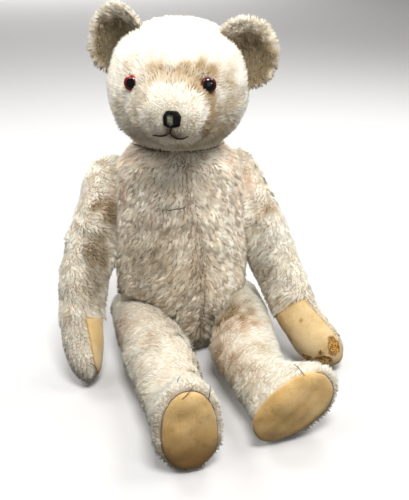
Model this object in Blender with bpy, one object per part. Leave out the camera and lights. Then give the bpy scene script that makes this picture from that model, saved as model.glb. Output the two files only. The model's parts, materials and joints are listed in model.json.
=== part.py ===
"""A large five-way jointed teddy bear of mohair and wood wool, sitting with its legs out.

Five cotter-pin joints carry the head and the limbs. Each joint is a pair of hardboard
discs, one in the limb and one in the torso, with a steel washer behind each disc and a
split pin through all of them. The pin turns its ends over inside the torso, so it stays
with the torso, and the limb turns on it.

Sizes are in millimetres and become metres when a mesh is made. X points to the bear's
left, -Y is where its chest faces, Z is up, and Z = 0 is the floor it sits on.
"""

import math

import bmesh
import bpy
from mathutils import Matrix, Vector

MM = 0.001

# ---- driving dimensions -------------------------------------------------------------

WALL = 1.8  # backed mohair cloth
GAP = 0.4  # running gap between neighbours
SIDES = {"right": -1, "left": 1}  # the bear's own right and left, along X

# Torso: height, half width, chest depth, back depth. It is cut flat at seat and neck.
TORSO_SHIFT = -9.0  # the old body leans a little to its right
TORSO_OUTLINE = [
    (-16, 30, 34, 36),
    (-4, 56, 50, 56),
    (18, 75, 61, 67),
    (50, 87, 66, 72),
    (95, 92, 74, 73),
    (145, 89, 71, 69),
    (195, 84, 66, 67),
    (235, 80, 61, 64),
    (260, 74, 55, 59),
    (278, 58, 44, 48),
    (292, 28, 24, 26),
]
NECK_HEIGHT = 276.0
TORSO_SIDES = 16
TORSO_LEVELS = 8

# Head: an egg that is wide at the brow, with a short domed muzzle.
HEAD_CENTRE = Vector((-8.0, -2.0, 343.0))
HEAD_HALF = Vector((83.0, 78.0, 78.5))
HEAD_FULLNESS = 2.25  # 2 is an egg, more fills the cheeks out
HEAD_TURN = math.radians(-18)
HEAD_SIDES = 22
HEAD_RINGS = (7, 14, 21, 28, 36, 46, 58, 72, 88, 104, 122, 142, 162)  # about the muzzle
HOLLOW = (16, (12, 22, 32, 44, 60, 80, 100, 122, 146))
MUZZLE_AIM = Vector((0.09, -1.0, -0.12)).normalized()
MUZZLE_REACH = 34.0
MUZZLE_SPREAD = math.radians(27)
EYE_SPOT = Vector((37.5, -62.0, 15.5))
EYE_RADIUS = 8.8
EYE_BULGE = 6.0
EYE_BACK = 0.6  # the eye's flat back, in front of the bare head

# Shoulders: the joint's place, how far its axis points backward, and the arm's swing.
SHOULDER_HEIGHT = 213.0
SHOULDER_REACH = 66.0
SHOULDER_SPLAY = {"right": math.radians(25), "left": math.radians(25)}
ARM_SWING = {"right": math.radians(-37), "left": math.radians(-39)}
ARM_STRETCH = {"right": 0.98, "left": 1.07}  # the left one is pulled a little longer
HAND_ROLL = {"right": 0.0, "left": math.radians(26)}
# Arm: distance down, inner face, outer face, half depth.
ARM_OUTLINE = [
    (-33, 10, 34, 6),
    (-28, -2, 48, 18),
    (-15, -12, 57, 29),
    (5, -15, 60, 33),
    (30, -13, 60, 34),
    (60, -8, 60, 33),
    (115, -5, 60, 31),
    (165, -3, 56, 29),
    (200, -1, 49, 27),
    (230, 1, 46, 27),
    (252, 3, 40, 21),
    (265, 9, 31, 10),
]
# How an old arm bends: distance down, lean outward, lean forward, in degrees.
ARM_BEND = {
    "right": [(0, 0, 0), (35, 3, 0), (70, 11, 0), (110, 5, -2), (180, -12, 3), (265, -20, 6)],
    "left": [(0, 0, 0), (35, 1, 0), (70, 5, -2), (110, 1, -3), (180, 1, 8), (265, 26, 22)],
}
ARM_ANGLES = [15 + 30 * i for i in range(12)]
ARM_STATIONS = [-33, -28, -19, 5, 45, 90, 135, 178, 210, 238, 256, 265]
WRIST = 193.0
WRIST_SLANT = math.radians(9)
# How far short of the middle of the hand the pad stops.
PALM_DEPTH = {"right": 14.0, "left": 6.0}

# Hips: the joint's place, how far its axis points forward, and the leg's swing and roll.
HIP_HEIGHT = 41.0
HIP_HALF = 46.0
HIP_RADIUS = 39.0
HIP_SETBACK = -3.0
HIP_TOE_IN = {"right": math.radians(4), "left": math.radians(5.5)}
LEG_SWING = {"right": math.radians(-89), "left": math.radians(-89)}
LEG_STRETCH = {"right": 1.04, "left": 0.94}  # wear has left them unequal
FOOT_ROLL = {"right": math.radians(2), "left": math.radians(63)}
# Leg: distance down, inner face, outer face, half depth.
LEG_OUTLINE = [
    (-37, 10, 38, 7),
    (-31, -4, 50, 21),
    (-17, -12, 54, 33),
    (8, -14, 55, 38),
    (55, -18, 57, 39),
    (105, -25, 58, 39),
    (155, -21, 57, 36),
    (200, -16, 54, 32),
    (220, -16, 54, 34),
    (236, -15, 55, 42),
    (250, -15, 56, 50),
    (264, -15, 57, 52),
    (290, -13, 54, 49),
]
# How a leg bends, and how far its rings stand forward of the bend to make the foot.
LEG_BEND = {
    "right": [(0, 0, 0), (100, 0, 0), (200, 0, 0), (275, 0, 0)],
    "left": [(0, 0, 0), (110, 0, 0), (190, 10, 0), (275, 14, 0)],
}
FOOT_FORWARD = [(0, 0), (195, 0), (220, 4), (236, 11), (250, 16), (264, 16), (290, 15)]
LEG_ANGLES = [360 * i / 14 for i in range(14)]
LEG_STATIONS = [-37, -31, -22, -8, 14, 40, 64, 84, 120, 160, 200, 221, 236, 250, 264, 290]
SOLE = 275.0
SOLE_TILT = {"right": math.radians(6), "left": math.radians(4)}
SOLE_HALF = Vector((33.0, 49.5))
SOLE_MIDDLE = 15.0
THIGH_CLEARANCE = 2.0
FLAT_THIGH = 64.0  # the inner side lies flat on the torso this far down

# Claw stitches that are left. Each end is so far down the limb, and so many degrees
# round it from the outer side to the front.
CLAW_THREAD = 0.5
CLAW_LIFT = 1.2
FOOT_CLAWS = {
    "right": [((252, 106), (263, 102)), ((261, 95), (272, 90)), ((259, 50), (271, 47))],
    "left": [((243, 130), (257, 124))],
}
PAW_CLAWS = {"right": [((245, 118), (259, 125))], "left": []}

# Joint hardware, all of it turned about the joint's axis.
DISC_THICK = 2.6
WASHER_THICK = 1.0
PIN_WIRE = 1.1
PIN_HALF = 2.4  # axis to the outside of the pin's two legs
NECK_DISC = 34.0
SHOULDER_DISC = 19.0
HIP_DISC = 21.0
WASHER_RADIUS = 9.0

# Material: name, colour, roughness, metallic.
MOHAIR = ("mohair", (0.76, 0.68, 0.56), 0.95, 0.0)
WOOD_WOOL = ("wood_wool", (0.72, 0.52, 0.25), 0.9, 0.0)
FELT = ("felt", (0.62, 0.41, 0.17), 0.9, 0.0)
HARDBOARD = ("hardboard", (0.32, 0.2, 0.11), 0.8, 0.0)
STEEL = ("steel", (0.55, 0.54, 0.52), 0.4, 1.0)
GLASS = ("eye_glass", (0.35, 0.06, 0.02), 0.08, 0.0)
THREAD = ("black_thread", (0.015, 0.014, 0.013), 0.7, 0.0)


# ---- helpers ------------------------------------------------------------------------


def between(table, key):
    """Read a table of rows at a place along it, on a smooth curve through the rows."""
    last = len(table) - 1
    at = 0
    while at < last - 1 and key > table[at + 1][0]:
        at += 1
    rows = [table[min(max(at + step, 0), last)] for step in (-1, 0, 1, 2)]
    part = (key - rows[1][0]) / (rows[2][0] - rows[1][0])
    values = []
    for before, here, there, after in zip(*(row[1:] for row in rows)):
        slope_in = (there - before) / 2
        slope_out = (after - here) / 2
        rise = there - here
        values.append(
            here
            + slope_in * part
            + (3 * rise - 2 * slope_in - slope_out) * part**2
            + (slope_in + slope_out - 2 * rise) * part**3
        )
    return values


def smooth_step(value):
    value = min(max(value, 0.0), 1.0)
    return value * value * (3 - 2 * value)


def loft(rings, inset=0.0):
    """Skin a closed tube over rings of points; a ring of one point is a pole."""
    bm = bmesh.new()
    rows = [[bm.verts.new(point) for point in ring] for ring in rings]
    for lower, upper in zip(rows, rows[1:]):
        count = max(len(lower), len(upper))
        for i in range(count):
            j = (i + 1) % count
            corners = [lower[i % len(lower)], lower[j % len(lower)]]
            corners += [upper[j % len(upper)], upper[i % len(upper)]]
            bm.faces.new(list(dict.fromkeys(corners)))
    for end in (rows[0], rows[-1]):
        if len(end) > 1:
            bm.faces.new(end)
    bmesh.ops.recalc_face_normals(bm, faces=bm.faces[:])
    if inset:
        bm.normal_update()
        shifts = [(vert, vert.normal * inset) for vert in bm.verts]
        for vert, shift in shifts:
            vert.co -= shift
    return bm


def flatten(bm, point, normal):
    """Cut off what lies beyond a plane and close the cut with a flat face."""
    everything = bm.verts[:] + bm.edges[:] + bm.faces[:]
    bmesh.ops.bisect_plane(
        bm, geom=everything, plane_co=point, plane_no=normal, clear_outer=True
    )
    rim = [edge for edge in bm.edges if edge.is_boundary]
    bmesh.ops.edgeloop_fill(bm, edges=rim)
    bmesh.ops.recalc_face_normals(bm, faces=bm.faces[:])


def place(name, bm, parent=None):
    """Turn a mesh in millimetres into an object in metres, under its parent."""
    bmesh.ops.triangulate(
        bm, faces=bm.faces[:], quad_method="FIXED", ngon_method="EAR_CLIP"
    )
    bmesh.ops.scale(bm, vec=(MM, MM, MM), verts=bm.verts[:])
    mesh = bpy.data.meshes.new(name)
    bm.to_mesh(mesh)
    bm.free()
    obj = bpy.data.objects.new(name, mesh)
    bpy.context.collection.objects.link(obj)
    obj.parent = parent
    return obj


def simplify(obj):
    """Join the triangles of each flat face again, and leave as few as it needs."""
    bm = bmesh.new()
    bm.from_mesh(obj.data)
    bmesh.ops.dissolve_limit(
        bm, angle_limit=math.radians(0.4), verts=bm.verts[:], edges=bm.edges[:]
    )
    bmesh.ops.triangulate(bm, faces=bm.faces[:], ngon_method="EAR_CLIP")
    bm.to_mesh(obj.data)
    bm.free()


def finish(obj, material):
    """Give a piece its material and shade its round faces smooth."""
    simplify(obj)
    name, colour, roughness, metallic = material
    mat = bpy.data.materials.get(name)
    if mat is None:
        mat = bpy.data.materials.new(name)
        mat.use_nodes = True
        shader = mat.node_tree.nodes["Principled BSDF"]
        shader.inputs["Base Color"].default_value = (*colour, 1.0)
        shader.inputs["Roughness"].default_value = roughness
        shader.inputs["Metallic"].default_value = metallic
        mat.diffuse_color = (*colour, 1.0)
    obj.data.materials.clear()
    obj.data.materials.append(mat)
    obj.data.shade_smooth()
    obj.data.set_sharp_from_angle(angle=math.radians(40))
    return obj


def carve(obj, tool, operation="DIFFERENCE"):
    """Cut, join or intersect an object with a tool, and leave a plain mesh."""
    boolean = obj.modifiers.new("carve", "BOOLEAN")
    boolean.operation = operation
    boolean.solver = "EXACT"
    boolean.object = tool
    bpy.context.view_layer.update()
    evaluated = obj.evaluated_get(bpy.context.evaluated_depsgraph_get())
    mesh = bpy.data.meshes.new_from_object(evaluated)
    obj.modifiers.clear()
    obj.data = mesh
    bpy.data.objects.remove(tool)
    return obj


def empty(name, matrix):
    """An empty on a joint's axis, or at the middle of the head."""
    obj = bpy.data.objects.new(name, None)
    bpy.context.collection.objects.link(obj)
    moved = matrix.copy()
    moved.translation = matrix.translation * MM
    obj.matrix_world = moved
    bpy.context.view_layer.update()
    return obj


def turned(profile, segments, axis="X"):
    """Turn (radius, place along the axis) points into a closed solid."""
    rings = []
    for radius, along in profile:
        if radius == 0:
            spots = [(along, 0.0, 0.0)]
        else:
            turns = [2 * math.pi * i / segments for i in range(segments)]
            spots = [
                (along, radius * math.cos(a), radius * math.sin(a)) for a in turns
            ]
        if axis == "Z":
            spots = [(y, z, x) for x, y, z in spots]
        rings.append([Vector(spot) for spot in spots])
    return rings


def ring_plate(outer, inner, low, high, segments, axis="X"):
    """A flat washer between two places along the axis."""
    profile = [(inner, low), (outer, low), (outer, high), (inner, high), (inner, low)]
    rings = turned(profile, segments, axis)
    bm = bmesh.new()
    rows = [[bm.verts.new(point) for point in ring] for ring in rings[:-1]]
    rows.append(rows[0])
    for lower, upper in zip(rows, rows[1:]):
        for i in range(segments):
            j = (i + 1) % segments
            bm.faces.new((lower[i], lower[j], upper[j], upper[i]))
    bmesh.ops.recalc_face_normals(bm, faces=bm.faces[:])
    return bm


def rod(radius, low, high, segments, axis="X"):
    """A plain cylinder along the axis, used as a cutter."""
    return loft(turned([(radius, low), (radius, high)], segments, axis))


def wire(points, radius, segments=4):
    """A round wire through points, with flat ends."""
    rings = []
    side = None
    for i, point in enumerate(points):
        before = points[max(i - 1, 0)]
        after = points[min(i + 1, len(points) - 1)]
        along = (after - before).normalized()
        if side is None:
            side = along.orthogonal().normalized()
        side = (side - along * side.dot(along)).normalized()
        other = along.cross(side)
        turns = [2 * math.pi * k / segments for k in range(segments)]
        rings.append(
            [point + (side * math.cos(a) + other * math.sin(a)) * radius for a in turns]
        )
    return loft(rings)


# ---- joints -------------------------------------------------------------------------


def joint_matrix(where, turn, swing=0.0):
    """A joint's own frame: X along its axis, turned about Z and then swung about X."""
    return (
        Matrix.Translation(where)
        @ Matrix.Rotation(turn, 4, "Z")
        @ Matrix.Rotation(swing, 4, "X")
    )


def shoulder_matrix(side, swing=0.0):
    sign = SIDES[side]
    turn = sign * SHOULDER_SPLAY[side]
    outward = Vector((sign * math.cos(turn), sign * math.sin(turn), 0))
    where = Vector((TORSO_SHIFT, 0, SHOULDER_HEIGHT)) + outward * SHOULDER_REACH
    return joint_matrix(where, turn, swing)


def hip_matrix(side, swing=0.0):
    sign = SIDES[side]
    where = Vector((sign * HIP_HALF, HIP_SETBACK, HIP_HEIGHT))
    return joint_matrix(where, -sign * HIP_TOE_IN[side], swing)


def neck_matrix():
    """The neck's axis is upright; its frame has X along that axis."""
    where = Vector((HEAD_CENTRE.x, HEAD_CENTRE.y + 2, NECK_HEIGHT))
    return Matrix.Translation(where) @ Matrix.Rotation(math.radians(-90), 4, "Y")


def hardware(joint, limb, sign, radius, seats):
    """Discs, washers and the split pin of one joint.

    The torso's half lies on the inner side of the joint's plane and the limb's half on
    the outer side. seats holds the empties that carry the two halves.
    """
    torso_seat, limb_seat = seats
    disc = WALL + GAP + GAP / 2
    washer = disc + DISC_THICK + GAP
    bore = PIN_HALF + GAP
    for name, seat, way in ((joint, torso_seat, -sign), (limb, limb_seat, sign)):
        ends = sorted((way * disc, way * (disc + DISC_THICK)))
        plate = ring_plate(radius, bore, *ends, 10)
        finish(place(f"{name}_disc", plate, seat), HARDBOARD)
        ends = sorted((way * washer, way * (washer + WASHER_THICK)))
        plate = ring_plate(WASHER_RADIUS, bore, *ends, 6)
        finish(place(f"{name}_washer", plate, seat), STEEL)
    finish(
        place(f"{joint}_pin", split_pin(sign, washer + WASHER_THICK + GAP), torso_seat),
        STEEL,
    )


def split_pin(sign, reach):
    """A split pin: an eye in the limb, two legs, and ends curled over in the torso."""
    half = PIN_HALF - PIN_WIRE
    eye = 4.6
    curl = 3.4
    middle = reach + PIN_WIRE + eye
    points = []
    for step in range(-3, 4):
        angle = math.radians(step * 48)
        points.append(Vector((middle + eye * math.cos(angle), eye * math.sin(angle), 0)))
    points[0] = Vector((reach + PIN_WIRE - 0.6, -half, 0))
    points[-1] = Vector((reach + PIN_WIRE - 0.6, half, 0))

    def leg(way):
        spots = [Vector((-reach, way * half, 0))]
        centre = Vector((-reach - PIN_WIRE * 0.6, way * (half + curl), 0))
        for turn in (-45, -110, -170):
            angle = math.radians(turn)
            spots.append(
                centre
                + Vector((curl * math.sin(angle), -way * curl * math.cos(angle), 0))
            )
        return spots

    points = leg(-1)[::-1] + points + leg(1)
    return wire([Vector((sign * p.x, p.y, p.z)) for p in points], PIN_WIRE)


# ---- torso --------------------------------------------------------------------------


def hip_scoop(side, grow):
    """The room that a thigh needs beside and under the belly, as a cutter.

    It is narrower at the joint's plane, where the thigh is rounded off too.
    """
    sign = SIDES[side]
    full = HIP_RADIUS + THIGH_CLEARANCE
    rings = []
    for x, radius in ((-GAP / 2 - grow, full - 7), (13, full), (140, full)):
        radius += grow
        outline = [(-160, radius)]
        for step in range(6):
            angle = math.radians(90 - 18 * step)
            outline.append((radius * math.cos(angle), radius * math.sin(angle)))
        outline += [(radius, -90), (-160, -90)]
        rings.append([Vector((sign * x, y, z)) for y, z in outline])
    cutter = place(f"scoop_{side}", loft(rings))
    cutter.matrix_world = metres(hip_matrix(side))
    bpy.context.view_layer.update()
    return cutter


def metres(matrix):
    moved = matrix.copy()
    moved.translation = matrix.translation * MM
    return moved


def torso_form(name, inset):
    """The torso's outer form, or the same form a given distance further in."""
    low, high = TORSO_OUTLINE[0][0], TORSO_OUTLINE[-1][0]
    rings = [[Vector((TORSO_SHIFT, 0, low - 1))]]
    for level in range(TORSO_LEVELS + 1):
        height = low + (high - low) * level / TORSO_LEVELS
        width, front, back = between(TORSO_OUTLINE, height)
        ring = []
        for i in range(TORSO_SIDES):
            angle = 2 * math.pi * (i + 0.5) / TORSO_SIDES
            across, along = math.cos(angle), math.sin(angle)
            depth = back if along > 0 else front
            ring.append(Vector((TORSO_SHIFT + width * across, depth * along, height)))
        rings.append(ring)
    rings.append([Vector((TORSO_SHIFT, 0, high + 1))])
    bm = loft(rings, inset)
    flatten(bm, Vector((0, 0, inset)), Vector((0, 0, -1)))
    flatten(bm, Vector((0, 0, NECK_HEIGHT - GAP / 2 - inset)), Vector((0, 0, 1)))
    for side, sign in SIDES.items():
        frame = shoulder_matrix(side)
        outward = frame.to_3x3() @ Vector((sign, 0, 0))
        flatten(bm, frame.translation - outward * (GAP / 2 + inset), outward)
    obj = place(name, bm)
    for side in SIDES:
        carve(obj, hip_scoop(side, inset))
    return obj


def in_frame(bm, name, matrix):
    """A cutter made in a joint's frame, in its place."""
    cutter = place(name, bm)
    cutter.matrix_world = metres(matrix)
    bpy.context.view_layer.update()
    return cutter


def torso_joints():
    """Each joint's frame, its outward sign in that frame and its disc's radius."""
    joints = [(neck_matrix(), 1, NECK_DISC)]
    for side, sign in SIDES.items():
        joints.append((shoulder_matrix(side), sign, SHOULDER_DISC))
        joints.append((hip_matrix(side), sign, HIP_DISC))
    return joints


def make_torso():
    cover = torso_form("torso_cover", 0.0)
    carve(cover, torso_form("hollow", WALL))
    stuffing = torso_form("torso_stuffing", WALL + GAP)
    for frame, sign, radius in torso_joints():
        ends = sorted((sign * 5.0, -sign * 8.0))
        carve(cover, in_frame(rod(PIN_HALF + GAP, *ends, 8), "pin_hole", frame))
        ends = sorted((sign * 5.0, -sign * 17.5))
        carve(stuffing, in_frame(rod(radius + 2.0, *ends, 12), "pocket", frame))
    finish(cover, MOHAIR)
    finish(stuffing, WOOD_WOOL)


# ---- head ---------------------------------------------------------------------------


def head_surface(direction, lift=0.0):
    """The head's surface in its own frame, along a direction from its middle."""
    aim = direction.normalized()
    power = HEAD_FULLNESS
    egg = sum(abs(aim[i] / HEAD_HALF[i]) ** power for i in range(3)) ** (-1 / power)
    spread = aim.angle(MUZZLE_AIM) / MUZZLE_SPREAD
    muzzle = MUZZLE_REACH * math.exp(-(spread**3))
    return aim * (egg + muzzle + lift)


def head_matrix():
    return Matrix.Translation(HEAD_CENTRE) @ Matrix.Rotation(HEAD_TURN, 4, "Z")


def head_form(name, inset, sides, angles):
    """The head's form, with its rings about the muzzle, cut flat at the neck."""
    pole = MUZZLE_AIM
    side = pole.cross(Vector((0, 0, 1))).normalized()
    up = side.cross(pole)
    rings = [[head_surface(pole)]]
    for degrees in angles:
        tilt = math.radians(degrees)
        ring = []
        for i in range(sides):
            turn = 2 * math.pi * (i + 0.5) / sides
            around = side * math.cos(turn) + up * math.sin(turn)
            ring.append(head_surface(pole * math.cos(tilt) + around * math.sin(tilt)))
        rings.append(ring)
    rings.append([head_surface(-pole)])
    bm = loft(rings, inset)
    floor = NECK_HEIGHT + GAP / 2 + inset - HEAD_CENTRE.z
    flatten(bm, Vector((0, 0, floor)), Vector((0, 0, -1)))
    return in_frame(bm, name, head_matrix())


def eye_frame(sign):
    """A frame on the head's surface at an eye, with Z pointing out of the head."""
    spot = Vector((sign * EYE_SPOT.x, EYE_SPOT.y, EYE_SPOT.z))
    outward = (spot.normalized() + Vector((0, -0.55, -0.05))).normalized()
    return head_surface(spot), outward.to_track_quat("Z", "Y").to_matrix().to_4x4()


def make_eye(side, sign, head):
    """A domed glass eye with a wire shank pushed into the head."""
    spot, turn = eye_frame(sign)
    frame = Matrix.Translation(spot) @ turn
    dome = [(0.0, EYE_BACK), (EYE_RADIUS * 0.93, EYE_BACK), (EYE_RADIUS, 1.8)]
    for degrees in (35, 62, 80):
        angle = math.radians(degrees)
        dome.append((EYE_RADIUS * math.cos(angle), 1.8 + EYE_BULGE * math.sin(angle)))
    dome.append((0.0, 1.8 + EYE_BULGE))
    bm = loft(turned(dome, 10, "Z"))
    bm.transform(frame)
    eye = finish(place(f"eye_{side}", bm, head), GLASS)
    half = 1.2
    loop = [Vector((-half, 0, 0.2)), Vector((-half, 0, -12))]
    loop += [Vector((0, 0, -14)), Vector((half, 0, -12)), Vector((half, 0, 0.2))]
    bm = wire(loop, 0.5)
    bm.transform(frame)
    finish(place(f"eye_{side}_shank", bm, head), STEEL)
    return eye


def eye_room(sign, radius):
    """The eye's own seat in the head, and the hole of its shank, as a cutter."""
    spot, turn = eye_frame(sign)
    frame = head_matrix() @ Matrix.Translation(spot) @ turn
    seat = EYE_RADIUS + GAP
    profile = [(0.0, -18.0), (radius, -18.0), (radius, EYE_BACK - GAP)]
    profile += [(seat, EYE_BACK - GAP), (seat, 12.0), (0.0, 12.0)]
    return in_frame(loft(turned(profile, 12, "Z")), "eye_room", frame)


def make_ear(side, head, spot, facing, size):
    """A cupped mohair ear, sewn along a curve over the corner of the head."""
    radius, cup, thick = size
    facing = facing.normalized()
    upward = (spot - facing * spot.dot(facing)).normalized()
    across = upward.cross(facing)
    segments = 16
    rings = []
    shape = [(0.0, 1), (0.5, 1), (0.85, 0.95), (1.03, 0.3), (1.0, -0.7)]
    shape += [(0.7, -1), (0.0, -1)]
    for part, face in shape:
        ring = []
        for i in range(1 if part == 0 else segments):
            turn = 2 * math.pi * i / segments
            flat = across * math.cos(turn) * 1.02 + upward * math.sin(turn) * 0.98
            bowl = cup * (part**2 - 0.5) + cup * 0.35 * part**2 * math.cos(2 * turn)
            depth = bowl + face * thick / 2
            ring.append(spot + flat * radius * part + facing * depth)
        rings.append(ring)
    ear = place(f"ear_{side}", loft(rings), head)
    carve(ear, head_form("head_room", -0.5, HEAD_SIDES, HEAD_RINGS))
    return finish(ear, MOHAIR)


EARS = {
    "right": (Vector((-70, 4, 55)), Vector((-0.42, -1.0, -0.02)), (40, 15, 8)),
    "left": (Vector((78, 4, 41)), Vector((0.22, -1.0, 0.0)), (39, 15, 8)),
}


def surface_spot(across, up, lift):
    """A spot on the muzzle, so far across and above the muzzle's tip."""
    tip = head_surface(MUZZLE_AIM)
    side = Vector((1, 0, 0))
    return head_surface(tip + side * across + Vector((0, 0, 1)) * up, lift)


def make_nose(head):
    """The nose: a pad of upright satin stitches, wide at the top."""
    stitches = 6
    rows = 3
    steps = stitches * 2
    bm = bmesh.new()
    layers = []
    for top in (False, True):
        grid = []
        for row in range(rows):
            down = row / (rows - 1)
            half = 10.2 - 4.2 * down**1.5
            line = []
            for step in range(steps + 1):
                part = 2 * step / steps - 1
                droop = 1.6 * part**2 if row == 0 else 0.0
                height = 9.0 - 18.0 * down * (1 - 0.12 * part**2) - droop
                lift = 0.6
                if top:
                    ridge = 0.5 if step % 2 else 0.0
                    rim = row in (0, rows - 1) or step in (0, steps)
                    lift += 1.0 if rim else 2.0 + ridge
                line.append(bm.verts.new(surface_spot(half * part, height, lift)))
            grid.append(line)
        layers.append(grid)
    under, over = layers
    for row in range(rows - 1):
        for step in range(steps):
            for grid in (under, over):
                bm.faces.new(
                    (
                        grid[row][step],
                        grid[row][step + 1],
                        grid[row + 1][step + 1],
                        grid[row + 1][step],
                    )
                )

    def border(grid):
        sides = grid[0] + [line[-1] for line in grid[1:]]
        sides += grid[-1][-2::-1] + [line[0] for line in grid[-2:0:-1]]
        return sides

    lower, upper = border(under), border(over)
    for i in range(len(lower)):
        j = (i + 1) % len(lower)
        bm.faces.new((lower[i], lower[j], upper[j], upper[i]))
    bmesh.ops.recalc_face_normals(bm, faces=bm.faces[:])
    return finish(place("nose_stitching", bm, head), THREAD)


def make_mouth(head):
    """The mouth: one stitch down from the nose and a thread out to each side."""
    lift = 1.2
    smile = [(-22, -19), (-13, -21), (-2, -16), (3, -21), (12, -23.5), (20, -20.5)]
    bm = wire([surface_spot(x, z, lift) for x, z in smile], 0.6)
    mouth = place("mouth_stitching", bm, head)
    stem = [surface_spot(-0.6, z, lift) for z in (-9.6, -13.5, -17.8)]
    carve(mouth, place("stem", wire(stem, 0.65), head), "UNION")
    return finish(mouth, THREAD)


def make_head():
    head = empty("head_axis", head_matrix())
    cover = head_form("head_cover", 0.0, HEAD_SIDES, HEAD_RINGS)
    carve(cover, head_form("hollow", WALL, *HOLLOW))
    stuffing = head_form("head_stuffing", WALL + GAP, *HOLLOW)
    frame = neck_matrix()
    carve(cover, in_frame(rod(PIN_HALF + GAP, -5, 8, 8), "pin_hole", frame))
    carve(stuffing, in_frame(rod(NECK_DISC + 2, -5, 20, 12), "pocket", frame))
    for side, sign in SIDES.items():
        carve(cover, eye_room(sign, 2.2))
        carve(stuffing, eye_room(sign, 2.6))
        make_eye(side, sign, head)
        make_ear(side, head, *EARS[side])
    for piece in (cover, stuffing):
        keep = piece.matrix_world.copy()
        piece.parent = head
        piece.matrix_world = keep
    finish(cover, MOHAIR)
    finish(stuffing, WOOD_WOOL)
    make_nose(head)
    make_mouth(head)
    seat = empty("neck_seat", frame)
    hardware("neck", "head", 1, NECK_DISC, (seat, seat))


# ---- limbs --------------------------------------------------------------------------


def spine(bend, stretch, down):
    """Where a bent limb's middle line is, and how it leans, this far from the joint."""
    at = Vector((0, 0, min(down, 0)))
    out_lean = front_lean = 0.0
    steps = max(int(down / 2), 0)
    for step in range(steps):
        place_on_limb = down * (step + 0.5) / steps
        out_lean, front_lean = (
            math.radians(degrees) for degrees in between(bend, place_on_limb)
        )
        along = Vector((math.tan(out_lean), math.tan(front_lean), 1)).normalized()
        at += along * stretch * down / steps
    return at, out_lean, front_lean


def skin_point(side, outline, pose, forward, spot, lift=0.0):
    """A point on a limb's skin: so far down, and so far round from outside to front."""
    down, degrees = spot
    inner, outer, depth = between(outline, down)
    angle = math.radians(degrees)
    out = ((outer - inner) / 2 + lift) * math.cos(angle)
    front = forward(down) + (depth + lift) * math.sin(angle)
    return limb_frame(side, outline, pose, down) @ Vector((SIDES[side] * out, -front, 0))


def limb_rings(side, outline, pose, forward, angles, stations, flat_until=None):
    """Rings of an arm or a leg in its joint's frame, hanging down from the joint.

    The inner side lies flat on the joint's plane. Past flat_until the limb may bulge
    inward again. Its rings turn by the roll towards the end.
    """
    sign = SIDES[side]
    rings = []
    for down in stations:
        limit = GAP / 2
        if flat_until is not None:
            limit -= 40 * smooth_step((down - flat_until) / 45)
        ring = []
        for degrees in angles:
            point = skin_point(side, outline, pose, forward, (down, degrees))
            if sign * point.x < limit:
                point.x = sign * limit
            ring.append(point)
        rings.append(ring)
    return rings


def limb_frame(side, outline, pose, down):
    """The frame of a limb's cross-section, this far down: -Y to its front."""
    sign = SIDES[side]
    bend, stretch, roll = pose
    inner, outer, _ = between(outline, down)
    at, out_lean, front_lean = spine(bend, stretch, down)
    where = Vector((sign * ((inner + outer) / 2 + at.x), -at.y, -at.z))
    turn = sign * roll * smooth_step((down - 70) / 165)
    return (
        Matrix.Translation(where)
        @ Matrix.Rotation(-sign * out_lean, 4, "Y")
        @ Matrix.Rotation(-front_lean, 4, "X")
        @ Matrix.Rotation(turn, 4, "Z")
    )


def close_ends(rings):
    """Add a pole a little beyond the first ring, and one beyond the last."""
    first = sum(rings[0], Vector()) / len(rings[0])
    last = sum(rings[-1], Vector()) / len(rings[-1])
    inward = (last - sum(rings[-2], Vector()) / len(rings[-2])).normalized()
    return [[first + Vector((0, 0, 1))]] + rings + [[last + inward * 3]]


def no_forward(down):
    """An arm has no heel or toe: its rings stay centred on its middle line."""
    return 0.0


def arm_pose(side):
    return ARM_BEND[side], ARM_STRETCH[side], HAND_ROLL[side]


def leg_pose(side):
    return LEG_BEND[side], LEG_STRETCH[side], FOOT_ROLL[side]


def arm_form(name, side, inset):
    pose = arm_pose(side)
    rings = limb_rings(side, ARM_OUTLINE, pose, no_forward, ARM_ANGLES, ARM_STATIONS)
    return place(name, loft(close_ends(rings), inset))


def foot_forward(down):
    return between(FOOT_FORWARD, max(down, 0))[0]


def leg_form(name, side, inset):
    pose = leg_pose(side)
    rings = limb_rings(
        side, LEG_OUTLINE, pose, foot_forward, LEG_ANGLES, LEG_STATIONS, FLAT_THIGH
    )
    bm = loft(close_ends(rings), inset)
    sole = sole_matrix(side)
    down = sole.to_3x3() @ Vector((0, 0, -1))
    flatten(bm, sole.translation - down * inset, down)
    return place(name, bm)


def sole_matrix(side):
    """The sole's own frame: -Y to the toe and Z up into the foot."""
    frame = limb_frame(side, LEG_OUTLINE, leg_pose(side), SOLE)
    tilt = Matrix.Rotation(-SOLE_TILT[side], 4, "X")
    return frame @ Matrix.Translation((0, -SOLE_MIDDLE, 0)) @ tilt


def limb_body(form, side, disc):
    """A limb's cover and stuffing, with the hole and pocket of its joint."""
    cover = form("cover", side, 0.0)
    carve(cover, form("hollow", side, WALL))
    carve(cover, place("pin_hole", rod(PIN_HALF + GAP, -8, 8, 8)))
    stuffing = form("stuffing", side, WALL + GAP)
    ends = sorted((SIDES[side] * -5.0, SIDES[side] * 20.5))
    carve(stuffing, place("pocket", rod(disc + 2.0, *ends, 12)))
    return cover, stuffing


def make_claws(name, side, shape, claws, axis):
    """The claw stitches that are left on a paw: each is one short black thread."""
    for number, (start, end) in enumerate(claws, 1):
        middle = [(start[i] + end[i]) / 2 for i in range(2)]
        points = [
            skin_point(side, *shape, spot, CLAW_LIFT) for spot in (start, middle, end)
        ]
        stitch = place(f"{name}_claw_{number}", wire(points, CLAW_THREAD), axis)
        finish(stitch, THREAD)


def rename(obj, name, parent, material):
    obj.name = name
    obj.data.name = name
    obj.parent = parent
    return finish(obj, material)


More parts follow.
